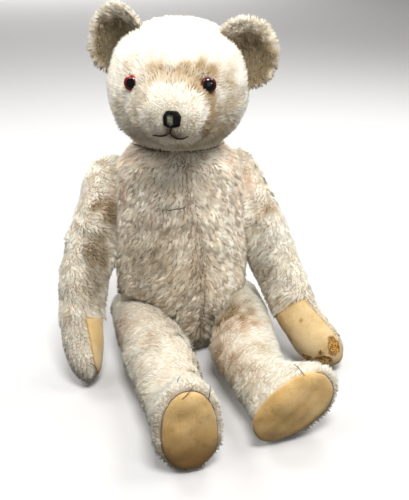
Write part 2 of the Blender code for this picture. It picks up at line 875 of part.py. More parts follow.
def box_between(low, high):
    """A cutting box between two corners."""
    bm = bmesh.new()
    bmesh.ops.create_cube(bm, size=1.0)
    centre = (Vector(low) + Vector(high)) / 2
    size = Vector(high) - Vector(low)
    bmesh.ops.scale(bm, vec=size, verts=bm.verts[:])
    bmesh.ops.translate(bm, vec=centre, verts=bm.verts[:])
    return bm


def palm_matrix(side):
    """The palm's own frame, on the inner side of the hand at the wrist."""
    frame = limb_frame(side, ARM_OUTLINE, arm_pose(side), WRIST + 30)
    return frame @ Matrix.Translation((-SIDES[side] * PALM_DEPTH[side], 0, 30))


def palm_room(side, grow):
    """The inner half of the hand, past a slanted wrist line, as a cutter."""
    sign = SIDES[side]
    ends = sorted((-sign * 60, sign * grow))
    bm = box_between((ends[0], -80, -120), (ends[1], 80, grow))
    bm.transform(palm_matrix(side) @ Matrix.Rotation(WRIST_SLANT, 4, "X"))
    return place("palm_room", bm)


def blob(centre, radii, corners, low, high):
    """A ragged prism along X, to cut a worn hole."""
    rings = []
    for x in (low, high):
        ring = []
        for i in range(corners):
            angle = 2 * math.pi * i / corners
            ragged = 1 + 0.16 * math.sin(3 * angle + 1) + 0.1 * math.cos(5 * angle)
            y = centre[0] + radii[0] * ragged * math.cos(angle)
            z = centre[1] + radii[1] * ragged * math.sin(angle)
            ring.append(Vector((x, y, z)))
        rings.append(ring)
    return loft(rings)


# Worn holes in the left paw's pad: centre in the palm's frame (Y, Z), half sizes, corners.
PAW_HOLES = [
    ((-22.0, -44.0), (6.0, 8.5), 11),
    ((-2.5, -16.0), (2.0, 1.8), 7),
    ((11.0, -34.0), (4.2, 3.4), 9),
]


def make_arm(side):
    sign = SIDES[side]
    axis = empty(f"shoulder_{side}_axis", shoulder_matrix(side, ARM_SWING[side]))
    cover, stuffing = limb_body(arm_form, side, SHOULDER_DISC)
    pad = place("pad", bmesh_from(cover))
    carve(pad, palm_room(side, 0.0), "INTERSECT")
    carve(cover, palm_room(side, GAP))
    if side == "left":
        for centre, radii, corners in PAW_HOLES:
            bm = blob(centre, radii, corners, -50, -2)
            bm.transform(palm_matrix(side))
            carve(pad, place("hole", bm))
    rename(cover, f"arm_{side}_cover", axis, MOHAIR)
    rename(stuffing, f"arm_{side}_stuffing", axis, WOOD_WOOL)
    rename(pad, f"paw_{side}_pad", axis, FELT)
    shape = (ARM_OUTLINE, arm_pose(side), no_forward)
    make_claws(f"paw_{side}", side, shape, PAW_CLAWS[side], axis)
    seat = empty(f"shoulder_{side}_seat", shoulder_matrix(side))
    seats = (seat, axis)
    hardware(f"shoulder_{side}", f"arm_{side}", sign, SHOULDER_DISC, seats)


def bmesh_from(obj):
    """A copy of an object's mesh, back in millimetres."""
    bm = bmesh.new()
    bm.from_mesh(obj.data)
    bmesh.ops.scale(bm, vec=(1 / MM, 1 / MM, 1 / MM), verts=bm.verts[:])
    return bm


def sole_plate(side, grow, low, high):
    """The sole pad's outline, an egg wider at the toe, between two heights."""
    rings = []
    for z in (low, high):
        ring = []
        for i in range(20):
            angle = 2 * math.pi * i / 20
            half = SOLE_HALF.x * (1 + 0.06 * math.sin(angle)) + grow
            front = (SOLE_HALF.y + grow) * math.sin(angle)
            ring.append(Vector((half * math.cos(angle), -front, z)))
        rings.append(ring)
    bm = loft(rings)
    bm.transform(sole_matrix(side))
    return bm


def make_leg(side):
    sign = SIDES[side]
    axis = empty(f"hip_{side}_axis", hip_matrix(side, LEG_SWING[side]))
    cover, stuffing = limb_body(leg_form, side, HIP_DISC)
    carve(cover, place("sole_room", sole_plate(side, GAP, -3, WALL + GAP / 2)))
    pad = place("pad", sole_plate(side, 0.0, 0, WALL))
    rename(cover, f"leg_{side}_cover", axis, MOHAIR)
    rename(stuffing, f"leg_{side}_stuffing", axis, WOOD_WOOL)
    rename(pad, f"foot_{side}_pad", axis, FELT)
    shape = (LEG_OUTLINE, leg_pose(side), foot_forward)
    make_claws(f"foot_{side}", side, shape, FOOT_CLAWS[side], axis)
    seat = empty(f"hip_{side}_seat", hip_matrix(side))
    hardware(f"hip_{side}", f"leg_{side}", sign, HIP_DISC, (seat, axis))


# ---- the bear -----------------------------------------------------------------------


def main():
    for obj in list(bpy.data.objects):
        bpy.data.objects.remove(obj)
    make_torso()
    make_head()
    for side in SIDES:
        make_arm(side)
        make_leg(side)


main()
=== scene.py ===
# %% [markdown]
# # A threadbare mohair teddy bear
#
# The bear is an old five-way jointed bear. Its solids come packed from CAD: covers, stuffing,
# discs and pins, each riding on one of six bodies. This file dresses them. Most of what the
# eye meets on such a bear is its pile, so the plan is: put a smooth cloth skin over each
# stuffing, press creases and dents into it, and then plant the pile on it lock by lock.
# Everything else, such as the glass eyes, the stitched nose, the felt pads and the torn
# holes with straw in them, is small work on top.

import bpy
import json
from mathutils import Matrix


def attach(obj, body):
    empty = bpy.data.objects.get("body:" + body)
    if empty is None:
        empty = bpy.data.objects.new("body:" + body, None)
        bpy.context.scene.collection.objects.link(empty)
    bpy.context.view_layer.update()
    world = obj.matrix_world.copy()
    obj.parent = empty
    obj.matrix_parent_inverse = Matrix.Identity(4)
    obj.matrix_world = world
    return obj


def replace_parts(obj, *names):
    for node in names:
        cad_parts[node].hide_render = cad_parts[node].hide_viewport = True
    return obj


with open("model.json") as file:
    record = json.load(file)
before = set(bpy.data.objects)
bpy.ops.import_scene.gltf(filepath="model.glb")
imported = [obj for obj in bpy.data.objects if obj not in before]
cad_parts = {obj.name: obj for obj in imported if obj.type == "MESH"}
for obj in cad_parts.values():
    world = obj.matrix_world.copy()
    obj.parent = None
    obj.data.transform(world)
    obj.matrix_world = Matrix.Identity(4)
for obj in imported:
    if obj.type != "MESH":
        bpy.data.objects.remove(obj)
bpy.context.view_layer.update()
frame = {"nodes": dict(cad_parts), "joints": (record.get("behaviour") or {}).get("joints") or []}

# %% [markdown]
# All tools stand here: bpy and bmesh for meshes, numpy where hundreds of thousands of locks
# are worked out at once, a BVH tree to find the nearest spot on a surface and a KD tree to
# find the nearest of many points. Lengths in this file are millimetres and become metres
# where a mesh is written. The bear's right is the viewer's left.

# %% Tools
import json
import math

import bmesh
import bpy
import numpy as np
from mathutils import Vector
from mathutils.bvhtree import BVHTree
from mathutils.kdtree import KDTree

MM = 0.001
SIDES = {"right": -1, "left": 1}
scene = bpy.context.scene


def unit(rows):
    """Each row scaled to length 1."""
    return rows / np.maximum(np.linalg.norm(rows, axis=-1, keepdims=True), 1e-12)


def smooth(values, low, high):
    """0 below low, 1 above high and an even slope between."""
    part = np.clip((values - low) / (high - low), 0, 1)
    return part * part * (3 - 2 * part)


def only(obj):
    """Deselect everything, then select this object and make it active."""
    bpy.ops.object.select_all(action="DESELECT")
    obj.select_set(True)
    bpy.context.view_layer.objects.active = obj


def shade_smooth(obj):
    only(obj)
    bpy.ops.object.shade_smooth()


def apply_modifiers(obj):
    only(obj)
    for modifier in list(obj.modifiers):
        bpy.ops.object.modifier_apply(modifier=modifier.name)


def new_object(name, mesh):
    """Put a mesh or a curve into the scene as an object of its own."""
    obj = bpy.data.objects.new(name, mesh)
    scene.collection.objects.link(obj)
    return obj


# %% Reading and writing points
def vertex_rows(mesh, key):
    flat = np.empty(len(mesh.vertices) * 3, np.float32)
    mesh.vertices.foreach_get(key, flat)
    return flat.reshape(-1, 3).astype(float)


def coordinates(mesh):
    return vertex_rows(mesh, "co")


def vertex_normals(mesh):
    return vertex_rows(mesh, "normal")


def move_to(mesh, rows):
    mesh.vertices.foreach_set("co", rows.astype(np.float32).ravel())
    mesh.update()


def give_points(mesh, name, values, kind="FLOAT", key="value"):
    """Store a value at each point of a mesh, for a material to read as an attribute."""
    layer = mesh.attributes.new(name, kind, "POINT")
    layer.data.foreach_set(key, np.asarray(values, np.float32).ravel())


def surface_of(mesh):
    """A tree that finds the nearest place on a mesh, and where a ray meets it."""
    shape = [v.co.copy() for v in mesh.vertices], [tuple(p.vertices) for p in mesh.polygons]
    return BVHTree.FromPolygons(*shape)


# %% [markdown]
# Nothing on an old toy is even. A wobble is a smooth random field: a handful of sine waves
# in random directions, added up. It bends the comb, dents the stuffing and mottles the
# colour. Each use gives its own seed, so the bear comes out the same every time.


# %% Wobble
def wobble(places, size, seed, waves=7):
    """A smooth field of about -1 to 1 that changes over about size millimetres."""
    dice = np.random.default_rng(seed)
    total = np.zeros(len(places))
    for _ in range(waves):
        way = unit(dice.normal(size=3))
        pitch = 2 * math.pi / (size * MM * dice.uniform(1.2, 3.0))
        total += np.sin(places @ (way * pitch) + dice.uniform(0, 2 * math.pi))
    return total / math.sqrt(waves)


def wobble_ways(places, size, seed):
    """Three wobbles, as a way to lean at each place."""
    return np.stack([wobble(places, size, seed + k) for k in (1, 2, 3)], 1)


sample = wobble(np.random.default_rng(0).random((500, 3)), 20, 1)
print("a wobble runs from", sample.min().round(2), "to", sample.max().round(2))


# %% [markdown]
# ## Shared finishes
#
# The mohair is one finish with many moods. The pile is cream on the head and limbs, beige on
# the body and tan where it was stained. Each lock is painted darker towards its root, as the
# shade deep in the pile. It could be one noise texture, but then stains and seams would not
# sit where they belong. So one node group works out its colour from masks that the meshes
# carry: how far up the lock a point is, a random value for each lock, and how stained, rusty
# or grimy the place is, where the grime mask also carries painted shade. Every mohair
# material places the same group with its own three base colours.


# %% Node helpers
def new_group(name, inputs, outputs):
    """A shader node group with named sockets. inputs and outputs are (name, type)."""
    tree = bpy.data.node_groups.new(name, "ShaderNodeTree")
    for label, kind in inputs:
        tree.interface.new_socket(label, in_out="INPUT", socket_type="NodeSocket" + kind)
    for label, kind in outputs:
        tree.interface.new_socket(label, in_out="OUTPUT", socket_type="NodeSocket" + kind)
    ins = tree.nodes.new("NodeGroupInput")
    outs = tree.nodes.new("NodeGroupOutput")
    return tree, ins.outputs, outs.inputs


def node(tree, kind, values=(), **settings):
    """A node with settings, and values or links for its inputs by name or number."""
    made = tree.nodes.new("ShaderNode" + kind)
    for key, value in settings.items():
        setattr(made, key, value)
    for key, value in dict(values).items():
        socket = made.inputs[key]
        if isinstance(value, bpy.types.NodeSocket):
            tree.links.new(value, socket)
        else:
            socket.default_value = value
    return made


def sums(tree, operation, a, b=0.0, clamp=False):
    """One Math node. MULTIPLY_ADD adds 0.5, which is what its third socket starts with."""
    made = node(tree, "Math", {0: a, 1: b}, operation=operation, use_clamp=clamp)
    return made.outputs[0]


def blend_of(tree, factor, a, b, blend="MIX"):
    """Mix two colours. Colours are given as sockets or as (r, g, b)."""
    ready = [(*c, 1.0) if isinstance(c, tuple) else c for c in (a, b)]
    made = node(tree, "Mix", {0: factor, 6: ready[0], 7: ready[1]}, data_type="RGBA")
    made.blend_type = blend
    return made.outputs[2]


def noise_of(tree, where, scale, detail=3.0, rough=0.55):
    values = {"Vector": where, "Scale": scale, "Detail": detail, "Roughness": rough}
    return node(tree, "TexNoise", values).outputs["Fac"]


def ramp_of(tree, value, low, high):
    """0 at low, 1 at high."""
    values = {"Value": value, "From Min": low, "From Max": high}
    return node(tree, "MapRange", values, interpolation_type="SMOOTHSTEP").outputs[0]


def attribute(tree, name):
    return node(tree, "Attribute", attribute_name=name)


# %% The mohair's colour
# The grime colour also stands for painted shade: in the ear cups, where the pile parts over the
# belly's seam, under the jaw and round the neck.
TAN, RUST, GRIME_AND_SHADE = (0.4, 0.27, 0.125), (0.6, 0.28, 0.12), (0.2, 0.16, 0.095)


def make_mohair_group():
    """The pile's colour from three base colours and the masks of its locks."""
    inputs = [("Light", "Color"), ("Mid", "Color"), ("Root", "Color")]
    inputs += [("Marks", "Vector"), ("Tip", "Float"), ("Lock", "Float")]
    tree, ins, outs = new_group("MohairTone", inputs, [("Color", "Color")])
    where = node(tree, "TexCoord").outputs["Object"]
    patchy = ramp_of(tree, noise_of(tree, where, 45.0, 4.0), 0.38, 0.66)
    base = blend_of(tree, patchy, ins["Mid"], ins["Light"])
    lively = ramp_of(tree, ins["Lock"], 0.55, 1.0)
    base = blend_of(tree, lively, base, ins["Light"])
    marks = node(tree, "SeparateXYZ", {0: ins["Marks"]}).outputs
    cloudy = sums(tree, "MULTIPLY_ADD", noise_of(tree, where, 110.0), 0.9)
    tan = sums(tree, "MULTIPLY", marks[0], cloudy, clamp=True)
    base = blend_of(tree, tan, base, TAN)
    base = blend_of(tree, marks[1], base, RUST)
    base = blend_of(tree, marks[2], base, GRIME_AND_SHADE)
    # Painted shade: each lock is darkened towards its root by the third colour, for the shade
    # deep in the pile, which casts no shadow.
    deep = ramp_of(tree, ins["Tip"], 0.0, 0.55)
    root_shaded = blend_of(tree, 1.0, base, ins["Root"], "MULTIPLY")
    base = blend_of(tree, deep, root_shaded, base)
    # At random, some locks take part of that painted shade along their whole length.
    dull = ramp_of(tree, ins["Lock"], 0.5, 0.0)
    dull = sums(tree, "MULTIPLY", dull, 0.42)
    base = blend_of(tree, dull, base, root_shaded)
    tree.links.new(base, outs["Color"])
    return tree


mohair_group = make_mohair_group()
print("group made:", mohair_group.name, "with", len(mohair_group.nodes), "nodes")


# %% Material helpers
def new_material(name):
    made = bpy.data.materials.new(name)
    made.use_nodes = True
    tree = made.node_tree
    return made, tree, tree.nodes["Principled BSDF"]


def new_finish(name):
    """A new material, its tree, its shader and the place on the object."""
    made, tree, shader = new_material(name)
    return made, tree, shader, node(tree, "TexCoord").outputs["Object"]


def dress(tree, shader, colour, roughness, specular=0.5):
    """Give a shader its colour, how rough it is and how much it shines."""
    tree.links.new(colour, shader.inputs["Base Color"])
    shader.inputs["Roughness"].default_value = roughness
    shader.inputs["Specular IOR Level"].default_value = specular


def emboss(tree, shader, height, strength, depth):
    """Bump a shader by a height. depth is the bump's full height in metres."""
    bump = node(tree, "Bump", {"Height": height, "Strength": strength, "Distance": depth})
    tree.links.new(bump.outputs["Normal"], shader.inputs["Normal"])


def weave_of(tree, where, scale, distortion, direction="X"):
    values = {"Vector": where, "Scale": scale, "Distortion": distortion}
    return node(tree, "TexWave", values, bands_direction=direction).outputs["Fac"]


# %% Pile and cloth materials
def mohair(name, light, mid, root):
    """A pile material with its own three colours."""
    made, tree, shader = new_material(name)
    group = tree.nodes.new("ShaderNodeGroup")
    group.node_tree = mohair_group
    # The third colour is the painted shade at the roots of the locks.
    for socket, colour in (("Light", light), ("Mid", mid), ("Root", root)):
        group.inputs[socket].default_value = (*colour, 1.0)
    for socket, output in (("Marks", "Vector"), ("Tip", "Fac"), ("Lock", "Fac")):
        found = attribute(tree, socket.lower())
        tree.links.new(found.outputs[output], group.inputs[socket])
    dress(tree, shader, group.outputs["Color"], 0.75, 0.12)
    shader.inputs["Sheen Weight"].default_value = 0.1
    shader.inputs["Sheen Roughness"].default_value = 0.6
    shader.inputs["Sheen Tint"].default_value = (1.0, 0.93, 0.78, 1.0)
    made.diffuse_color = (*mid, 1.0)
    return made


def backing(name, base, root):
    """The woven cloth that the pile is planted in, seen where the pile is thin."""
    made, tree, shader, where = new_finish(name)
    marks = node(tree, "SeparateXYZ", {0: attribute(tree, "marks").outputs["Vector"]}).outputs
    tone = ramp_of(tree, noise_of(tree, where, 60.0, 4.0), 0.35, 0.65)
    colour = blend_of(tree, tone, root, base)
    # Tan and grime darken the cloth as well; in places these marks are painted shade.
    colour = blend_of(tree, marks[0], colour, (0.2, 0.1, 0.045))
    colour = blend_of(tree, marks[2], colour, (0.09, 0.06, 0.04))
    warp, weft = (weave_of(tree, where, 420.0, 1.2, way) for way in "XZ")
    weave = sums(tree, "MULTIPLY", warp, weft)
    colour = blend_of(tree, sums(tree, "MULTIPLY", weave, 0.35), colour, root, "MULTIPLY")
    dress(tree, shader, colour, 0.95, 0.1)
    emboss(tree, shader, weave, 0.4, 0.0005)
    return made


# Three colours each: the light tips, the middle tone and the painted shade at the roots.
PILE = {
    "head": mohair("mohair_head", (0.97, 0.95, 0.88), (0.93, 0.88, 0.74), (0.84, 0.72, 0.53)),
    "torso": mohair("mohair_torso", (0.95, 0.9, 0.77), (0.84, 0.735, 0.585), (0.62, 0.5, 0.37)),
    "arm": mohair("mohair_arm", (0.86, 0.85, 0.77), (0.78, 0.74, 0.63), (0.74, 0.65, 0.5)),
    "leg": mohair("mohair_leg", (0.75, 0.735, 0.65), (0.65, 0.61, 0.505), (0.61, 0.52, 0.385)),
}
CLOTH = {
    "head": backing("backing_head", (0.9, 0.82, 0.66), (0.72, 0.62, 0.46)),
    "torso": backing("backing_torso", (0.56, 0.43, 0.32), (0.42, 0.31, 0.22)),
    "arm": backing("backing_arm", (0.64, 0.54, 0.4), (0.5, 0.4, 0.28)),
    "leg": backing("backing_leg", (0.68, 0.58, 0.44), (0.52, 0.42, 0.31)),
}
print("mohair finishes:", sorted(PILE))

# %% [markdown]
# ## The cloth skins
#
# A real cover is sewn inside out, turned and stuffed until it is tight. The CAD stuffing has
# that stuffed shape already, 2.2 mm smaller than the cover and with a pocket for each joint
# disc. So a skin starts as a copy of the stuffing: its loose triangles are merged, the
# pockets are closed again, and it is grown by the thickness of the cloth. A voxel remesh
# turns its flats into small even squares, and smoothing takes the corners out, as a tight
# stuffing does. A cloth simulation would only blow up what is already stuffed, so the folds
# are pressed in afterwards.

# %% Joint pockets and eyes: where they are
# How far the cloth lies outside the stuffing, and each joint's pocket: all in millimetres.
CLOTH_ROOM = 2.2
NECK_POCKET, SHOULDER_POCKET, HIP_POCKET = 37.0, 21.8, 23.8
joints = {joint["name"]: joint for joint in frame["joints"]}
POCKETS = {
    "torso": [(name, NECK_POCKET if name == "neck_swivel" else HIP_POCKET) for name in joints],
    "head": [("neck_swivel", NECK_POCKET)],
}
for side in SIDES:
    POCKETS[f"arm_{side}"] = [(f"shoulder_{side}_swing", SHOULDER_POCKET)]
    POCKETS[f"leg_{side}"] = [(f"hip_{side}_swing", HIP_POCKET)]
EYE_POCKET = 3.2
# Each eye: where it sits on the bare head, and the way it looks.
EYES = {
    "right": (Vector((-69.69, -55.31, 360.44)), Vector((-0.6128, -0.7829, 0.1072))),
    "left": (Vector((11.75, -86.44, 361.55)), Vector((0.0356, -0.9936, 0.1072))),
}
print("pockets to close:", sum(len(rows) for rows in POCKETS.values()))


# %% Copy and close
def merged_copy(node_name, name):
    """An object of its own from a CAD node, with its loose triangles joined up."""
    obj = new_object(name, frame["nodes"][node_name].data.copy())
    obj.data.materials.clear()
    only(obj)
    bpy.ops.object.mode_set(mode="EDIT")
    bpy.ops.mesh.select_all(action="SELECT")
    bpy.ops.mesh.remove_doubles(threshold=0.00001)
    bpy.ops.object.mode_set(mode="OBJECT")
    sharp = obj.data.attributes.get("sharp_edge")
    if sharp:
        obj.data.attributes.remove(sharp)
    return obj


def close_pockets(obj, pockets, reach=26.0):
    """Delete what lies near each pocket's axis, and close the holes with flat faces."""
    bm = bmesh.new()
    bm.from_mesh(obj.data)
    for place, axis, radius in pockets:
        doomed = []
        for vert in bm.verts:
            apart = (vert.co - place) / MM
            along = apart.dot(axis)
            if abs(along) < reach and (apart - axis * along).length < radius:
                doomed.append(vert)
        bmesh.ops.delete(bm, geom=doomed, context="VERTS")
    rim = [edge for edge in bm.edges if edge.is_boundary]
    bmesh.ops.holes_fill(bm, edges=rim, sides=0)
    bmesh.ops.triangulate(bm, faces=[f for f in bm.faces if len(f.verts) > 3])
    bmesh.ops.recalc_face_normals(bm, faces=bm.faces[:])
    bm.to_mesh(obj.data)
    bm.free()


def swell(obj, amount):
    """Move every point out along its normal, by so many millimetres."""
    move_to(obj.data, coordinates(obj.data) + vertex_normals(obj.data) * amount * MM)


def soften(obj, voxel, factor, rounds):
    """Remesh in even squares of so many millimetres, and smooth the corners out."""
    remesh = obj.modifiers.new("even", "REMESH")
    remesh.mode = "VOXEL"
    remesh.voxel_size = voxel * MM
    smoothing = obj.modifiers.new("soften", "SMOOTH")
    smoothing.factor = factor
    smoothing.iterations = rounds
    apply_modifiers(obj)


# %% Grow the cloth
SMOOTHING_LOSS = 0.035  # millimetres that each round of smoothing takes off a body


def stuffed_skin(body, voxel=4.0, rounds=14):
    """A smooth closed skin over a body's stuffing."""
    obj = merged_copy(f"{body}_stuffing", f"{body}_skin")
    pockets = []
    for name, radius in POCKETS[body]:
        joint = joints[name]
        pockets.append((Vector(joint["pos_m"]), Vector(joint["axis"]).normalized(), radius))
    if body == "head":
        for place, way in EYES.values():
            pockets.append((place * MM, way.normalized(), EYE_POCKET))
    close_pockets(obj, pockets)
    swell(obj, CLOTH_ROOM)
    soften(obj, voxel, 0.6, rounds)
    swell(obj, rounds * SMOOTHING_LOSS)
    return obj


skins = {body: stuffed_skin(body) for body in sorted(POCKETS)}
for body, skin in skins.items():
    low, high = coordinates(skin.data).min(0), coordinates(skin.data).max(0)
    print(body, len(skin.data.polygons), "faces", (low / MM).round(1), (high / MM).round(1))

# %% [markdown]
# ## Folds and dents
#
# Wood wool settles in lumps, and an old cover creases where a limb was bent for years. Each
# fold could be carved by hand with a brush, but a brush leaves nothing to read or change. So
# each is a short line of points on the surface: what lies near the line is pressed in, and
# the cloth beside it stands up a little, as a real fold does. A slow wobble adds the lumps.
# On the head the same lines sink the face round the muzzle.

# %% Where the folds are
# Points of each fold, its half width and its depth, all in millimetres.
FOLDS = {
    "torso": [
        (
            [(-80, -38, 176), (-50, -56, 178), (-18, -68, 182), (15, -66, 176), (42, -54, 170)],
            9,
            2.2,
        ),
        ([(-60, -52, 128), (-30, -68, 132), (0, -72, 124)], 10, 1.3),
        ([(-70, -40, 66), (-40, -60, 60), (-18, -70, 50)], 9, 1.4),
        ([(35, -58, 130), (52, -44, 112), (62, -30, 96)], 10, 1.4),
        (
            [
                *((-9, -58, 243), (-8, -63, 214), (4, -67, 175)),
                *((10, -70, 131), (9, -70, 84), (7, -62, 30)),
            ],
            3.5,
            1.0,
        ),
        ([(-20, 70, 200), (-60, 52, 190), (-80, 20, 180)], 11, 1.8),
        ([(-70, 40, 90), (-30, 66, 82), (20, 64, 90), (50, 42, 100)], 12, 1.8),
    ],
    "arm_right": [
        ([(-150, -4, 164), (-136, -28, 166), (-119, -30, 164), (-104, -16, 158)], 7, 2.4),
        ([(-104, -8, 196), (-92, -8, 192), (-84, 6, 186)], 8, 1.8),
        ([(-158, -60, 96), (-140, -78, 92), (-118, -70, 84)], 8, 1.4),
        ([(-110, 30, 150), (-130, 34, 146), (-146, 20, 146)], 9, 2.0),
    ],
    "arm_left": [
        ([(82, -10, 190), (96, -24, 178), (112, -26, 176)], 8, 2.0),
        ([(84, -26, 160), (98, -42, 146), (116, -42, 144), (132, -30, 146)], 8, 1.8),
        ([(96, -60, 104), (112, -78, 98), (132, -72, 104)], 8, 1.6),
        ([(110, 10, 150), (128, 4, 136), (142, -10, 128)], 9, 2.0),
    ],
    "leg_right": [
        ([(-95, -106, 46), (-84, -118, 62), (-66, -132, 73), (-46, -138, 74)], 8, 1.5),
        ([(-92, -142, 44), (-80, -152, 62), (-62, -160, 72)], 7, 1.1),
        ([(-90, -176, 42), (-78, -188, 58), (-58, -198, 68), (-40, -196, 70)], 8, 1.4),
        ([(-94, -84, 40), (-88, -90, 56), (-74, -100, 70)], 8, 1.0),
        ([(-14, -150, 50), (-12, -170, 36), (-14, -190, 24)], 8, 1.2),
    ],
    "leg_left": [
        ([(14, -140, 40), (18, -150, 60), (36, -158, 74), (60, -156, 78)], 9, 1.3),
        ([(20, -190, 30), (26, -204, 54), (44, -210, 66), (66, -206, 70)], 8, 2.0),
        ([(90, -130, 60), (102, -150, 40), (104, -160, 20)], 9, 1.4),
    ],
    "head": [
        (
            [(-32, -83, 375), (-50, -80, 370), (-65, -73, 358), (-71, -71, 343), (-69, -79, 327)],
            7,
            2.2,
        ),
        (
            [(-69, -79, 327), (-61, -81, 309), (-46, -74, 295), (-28, -70, 286), (-8, -82, 294)],
            7,
            1.6,
        ),
        (
            [(-8, -82, 294), (3, -99, 312), (9, -101, 332), (10, -97, 350), (3, -91, 365)],
            7,
            2.2,
        ),
        ([(3, -91, 365), (-14, -87, 374), (-32, -83, 375)], 7, 2.2),
    ],
}
# How high the lumps are, where it isn't 1 mm.
LUMPS = {"head": 0.7, "torso": 1.2}
print("folds:", {body: len(lines) for body, lines in FOLDS.items()})


# %% Press them in
def near_line(rows, line):
    """Each row's distance in millimetres from a line of points, and how far along it."""
    best = np.full(len(rows), 1e9)
    along = np.zeros(len(rows))
    for number, (start, end) in enumerate(zip(line, line[1:])):
        a, b = np.array(start, float), np.array(end, float)
        part = np.clip(((rows - a) @ (b - a)) / ((b - a) @ (b - a)), 0, 1)
        apart = np.linalg.norm(rows - a - part[:, None] * (b - a), axis=1)
        closer = apart < best
        best = np.where(closer, apart, best)
        along = np.where(closer, (number + part) / (len(line) - 1), along)
    return best, along


def press_folds(body):
    """Lumps and folds, fading out where the body rests on the floor."""
    mesh = skins[body].data
    rows, ways = coordinates(mesh), vertex_normals(mesh)
    shift = wobble(rows, 26, 11) * LUMPS.get(body, 1.0)
    for line, width, depth in FOLDS[body]:
        apart, along = near_line(rows / MM, line)
        apart = apart / width
        fade = 0.3 if body == "head" else 0.06
        ends = np.sin(math.pi * np.clip(along, fade, 1 - fade)) ** 0.5
        shift -= depth * ends * (np.exp(-(apart**2)) - 0.45 * np.exp(-((apart - 1.7) ** 2) * 2))
    shift *= smooth(rows[:, 2] / MM, 2.0, 14.0)
    move_to(mesh, rows + ways * shift[:, None] * MM)


for body in skins:
    press_folds(body)
print("folds pressed:", sum(len(lines) for lines in FOLDS.values()))

# %% [markdown]
# ## Paws and feet
#
# Felt covers the palms and soles. A palm pad takes the mohair's place from the wrist to the
# tip of the paw. It could be a patch laid on top, but then its edge would stand proud of the
# pile. So it is cut out of the arm's skin along two planes: the palm's plane and the wrist's.
# The felt is then subdivided until it is fine enough for ragged holes. A sole is an oval
# sewn into the foot's open end. Round it the foot's cloth bulges a little, and its pile
# makes the cream rim.

# %% Palms and soles: where they are
# Each palm: a point of its plane and the way it faces, a point of the wrist's seam and the
# way up the arm.
PALMS = {
    "right": (
        (-141.2, -81.0, 82.4),
        (0.994, 0.032, 0.107),
        (-129.6, -62.9, 69.9),
        (-0.047, 0.59, 0.806),
    ),
    "left": (
        (155.1, -102.9, 61.7),
        (-0.806, -0.568, -0.169),
        (119.2, -88.9, 78.0),
        (-0.337, 0.659, 0.672),
    ),
}
# Each sole: its middle, its way across, its way to the heel and its way into the foot.
SOLES = {
    "right": (
        (-47.34, -290.01, 51.0),
        (0.997, 0.0691, 0.0349),
        (0.0407, -0.0845, -0.9956),
        (-0.0659, 0.994, -0.0871),
    ),
    "left": (
        (72.7, -261.5, 43.4),
        (0.4505, 0.0824, -0.889),
        (-0.8681, -0.1921, -0.4577),
        (-0.2085, 0.9779, -0.015),
    ),
}
SOLE_HALF = {"right": (31.0, 47.3), "left": (34.5, 52.0)}  # half its width and its length
EGG = {"right": 0.1, "left": -0.04}  # how much wider it is towards the heel
SQUARE = 2.3  # 2 would make an ellipse, and more fills its corners out


def palm_part(side, places):
    """Millimetres inside the paw pad, below 0 outside it."""
    point, facing, wrist, up = (np.array(row) for row in PALMS[side])
    return np.minimum((places / MM - point) @ facing, (wrist - places / MM) @ up)


def sole_part(side, places):
    """How far out from the sole's middle, 1 at the pad's edge, and how deep into the foot."""
    point, across, heel, into = (np.array(row) for row in SOLES[side])
    apart = places / MM - point
    width, length = (apart @ across) / SOLE_HALF[side][0], (apart @ heel) / SOLE_HALF[side][1]
    width = width / (1 + EGG[side] * length.clip(-1.2, 1.2))
    out = (np.abs(width) ** SQUARE + np.abs(length) ** SQUARE) ** (1 / SQUARE)
    return out, apart @ into


# %% Fill out the feet and paws
def puff_foot(side):
    """Bulge the cloth round the sole, so that a rim of it shows past the felt."""
    mesh = skins[f"leg_{side}"].data
    rows = coordinates(mesh)
    point, across, heel, into = (np.array(row) for row in SOLES[side])
    out, deep = sole_part(side, rows)
    apart = rows / MM - point
    flat = unit(apart - (apart @ into)[:, None] * into)
    rim = np.exp(-(((deep - 5) / 8) ** 2)) * smooth(out, 0.8, 1.05)
    rim *= smooth(rows[:, 2] / MM, 1.0, 8.0)
    move_to(mesh, rows + flat * (rim * 3.0)[:, None] * MM)


def puff_paw(side, middle, reach, amount):
    """Fill the paw out to a mitten: wood wool has packed down into its tip."""
    mesh = skins[f"arm_{side}"].data
    rows = coordinates(mesh)
    near = np.exp(-((np.linalg.norm(rows / MM - middle, axis=1) / reach) ** 2))
    near *= smooth(rows[:, 2] / MM, 3.0, 16.0)
    move_to(mesh, rows + vertex_normals(mesh) * (near * amount)[:, None] * MM)


for side in SIDES:
    puff_foot(side)
puff_paw("left", (148, -112, 34), 34, 6.5)
puff_paw("right", (-134, -92, 40), 30, 2.5)
for side in SIDES:
    print(side, "foot reaches", (coordinates(skins[f"leg_{side}"].data).min(0) / MM).round(1))


# %% Cut the palm pads out of the arms
def palm_faces(bm, side, inside):
    """The faces inside, or outside, the palm pad."""
    middles = np.array([face.calc_center_median() for face in bm.faces])
    chosen = (palm_part(side, middles) > 0) == inside
    return [face for face, wanted in zip(bm.faces[:], chosen) if wanted]


def write_in_order(bm, mesh):
    """Write a cut mesh sorted by place, because a cut leaves its parts in no fixed order."""
    verts = sorted(bm.verts, key=lambda vert: vert.co[:])
    number = {vert: place for place, vert in enumerate(verts)}
    faces = []
    for face in bm.faces:
        ring = [number[vert] for vert in face.verts]
        first = ring.index(min(ring))
        faces.append(ring[first:] + ring[:first])
    mesh.clear_geometry()
    mesh.from_pydata([vert.co[:] for vert in verts], [], sorted(faces))
    bm.free()


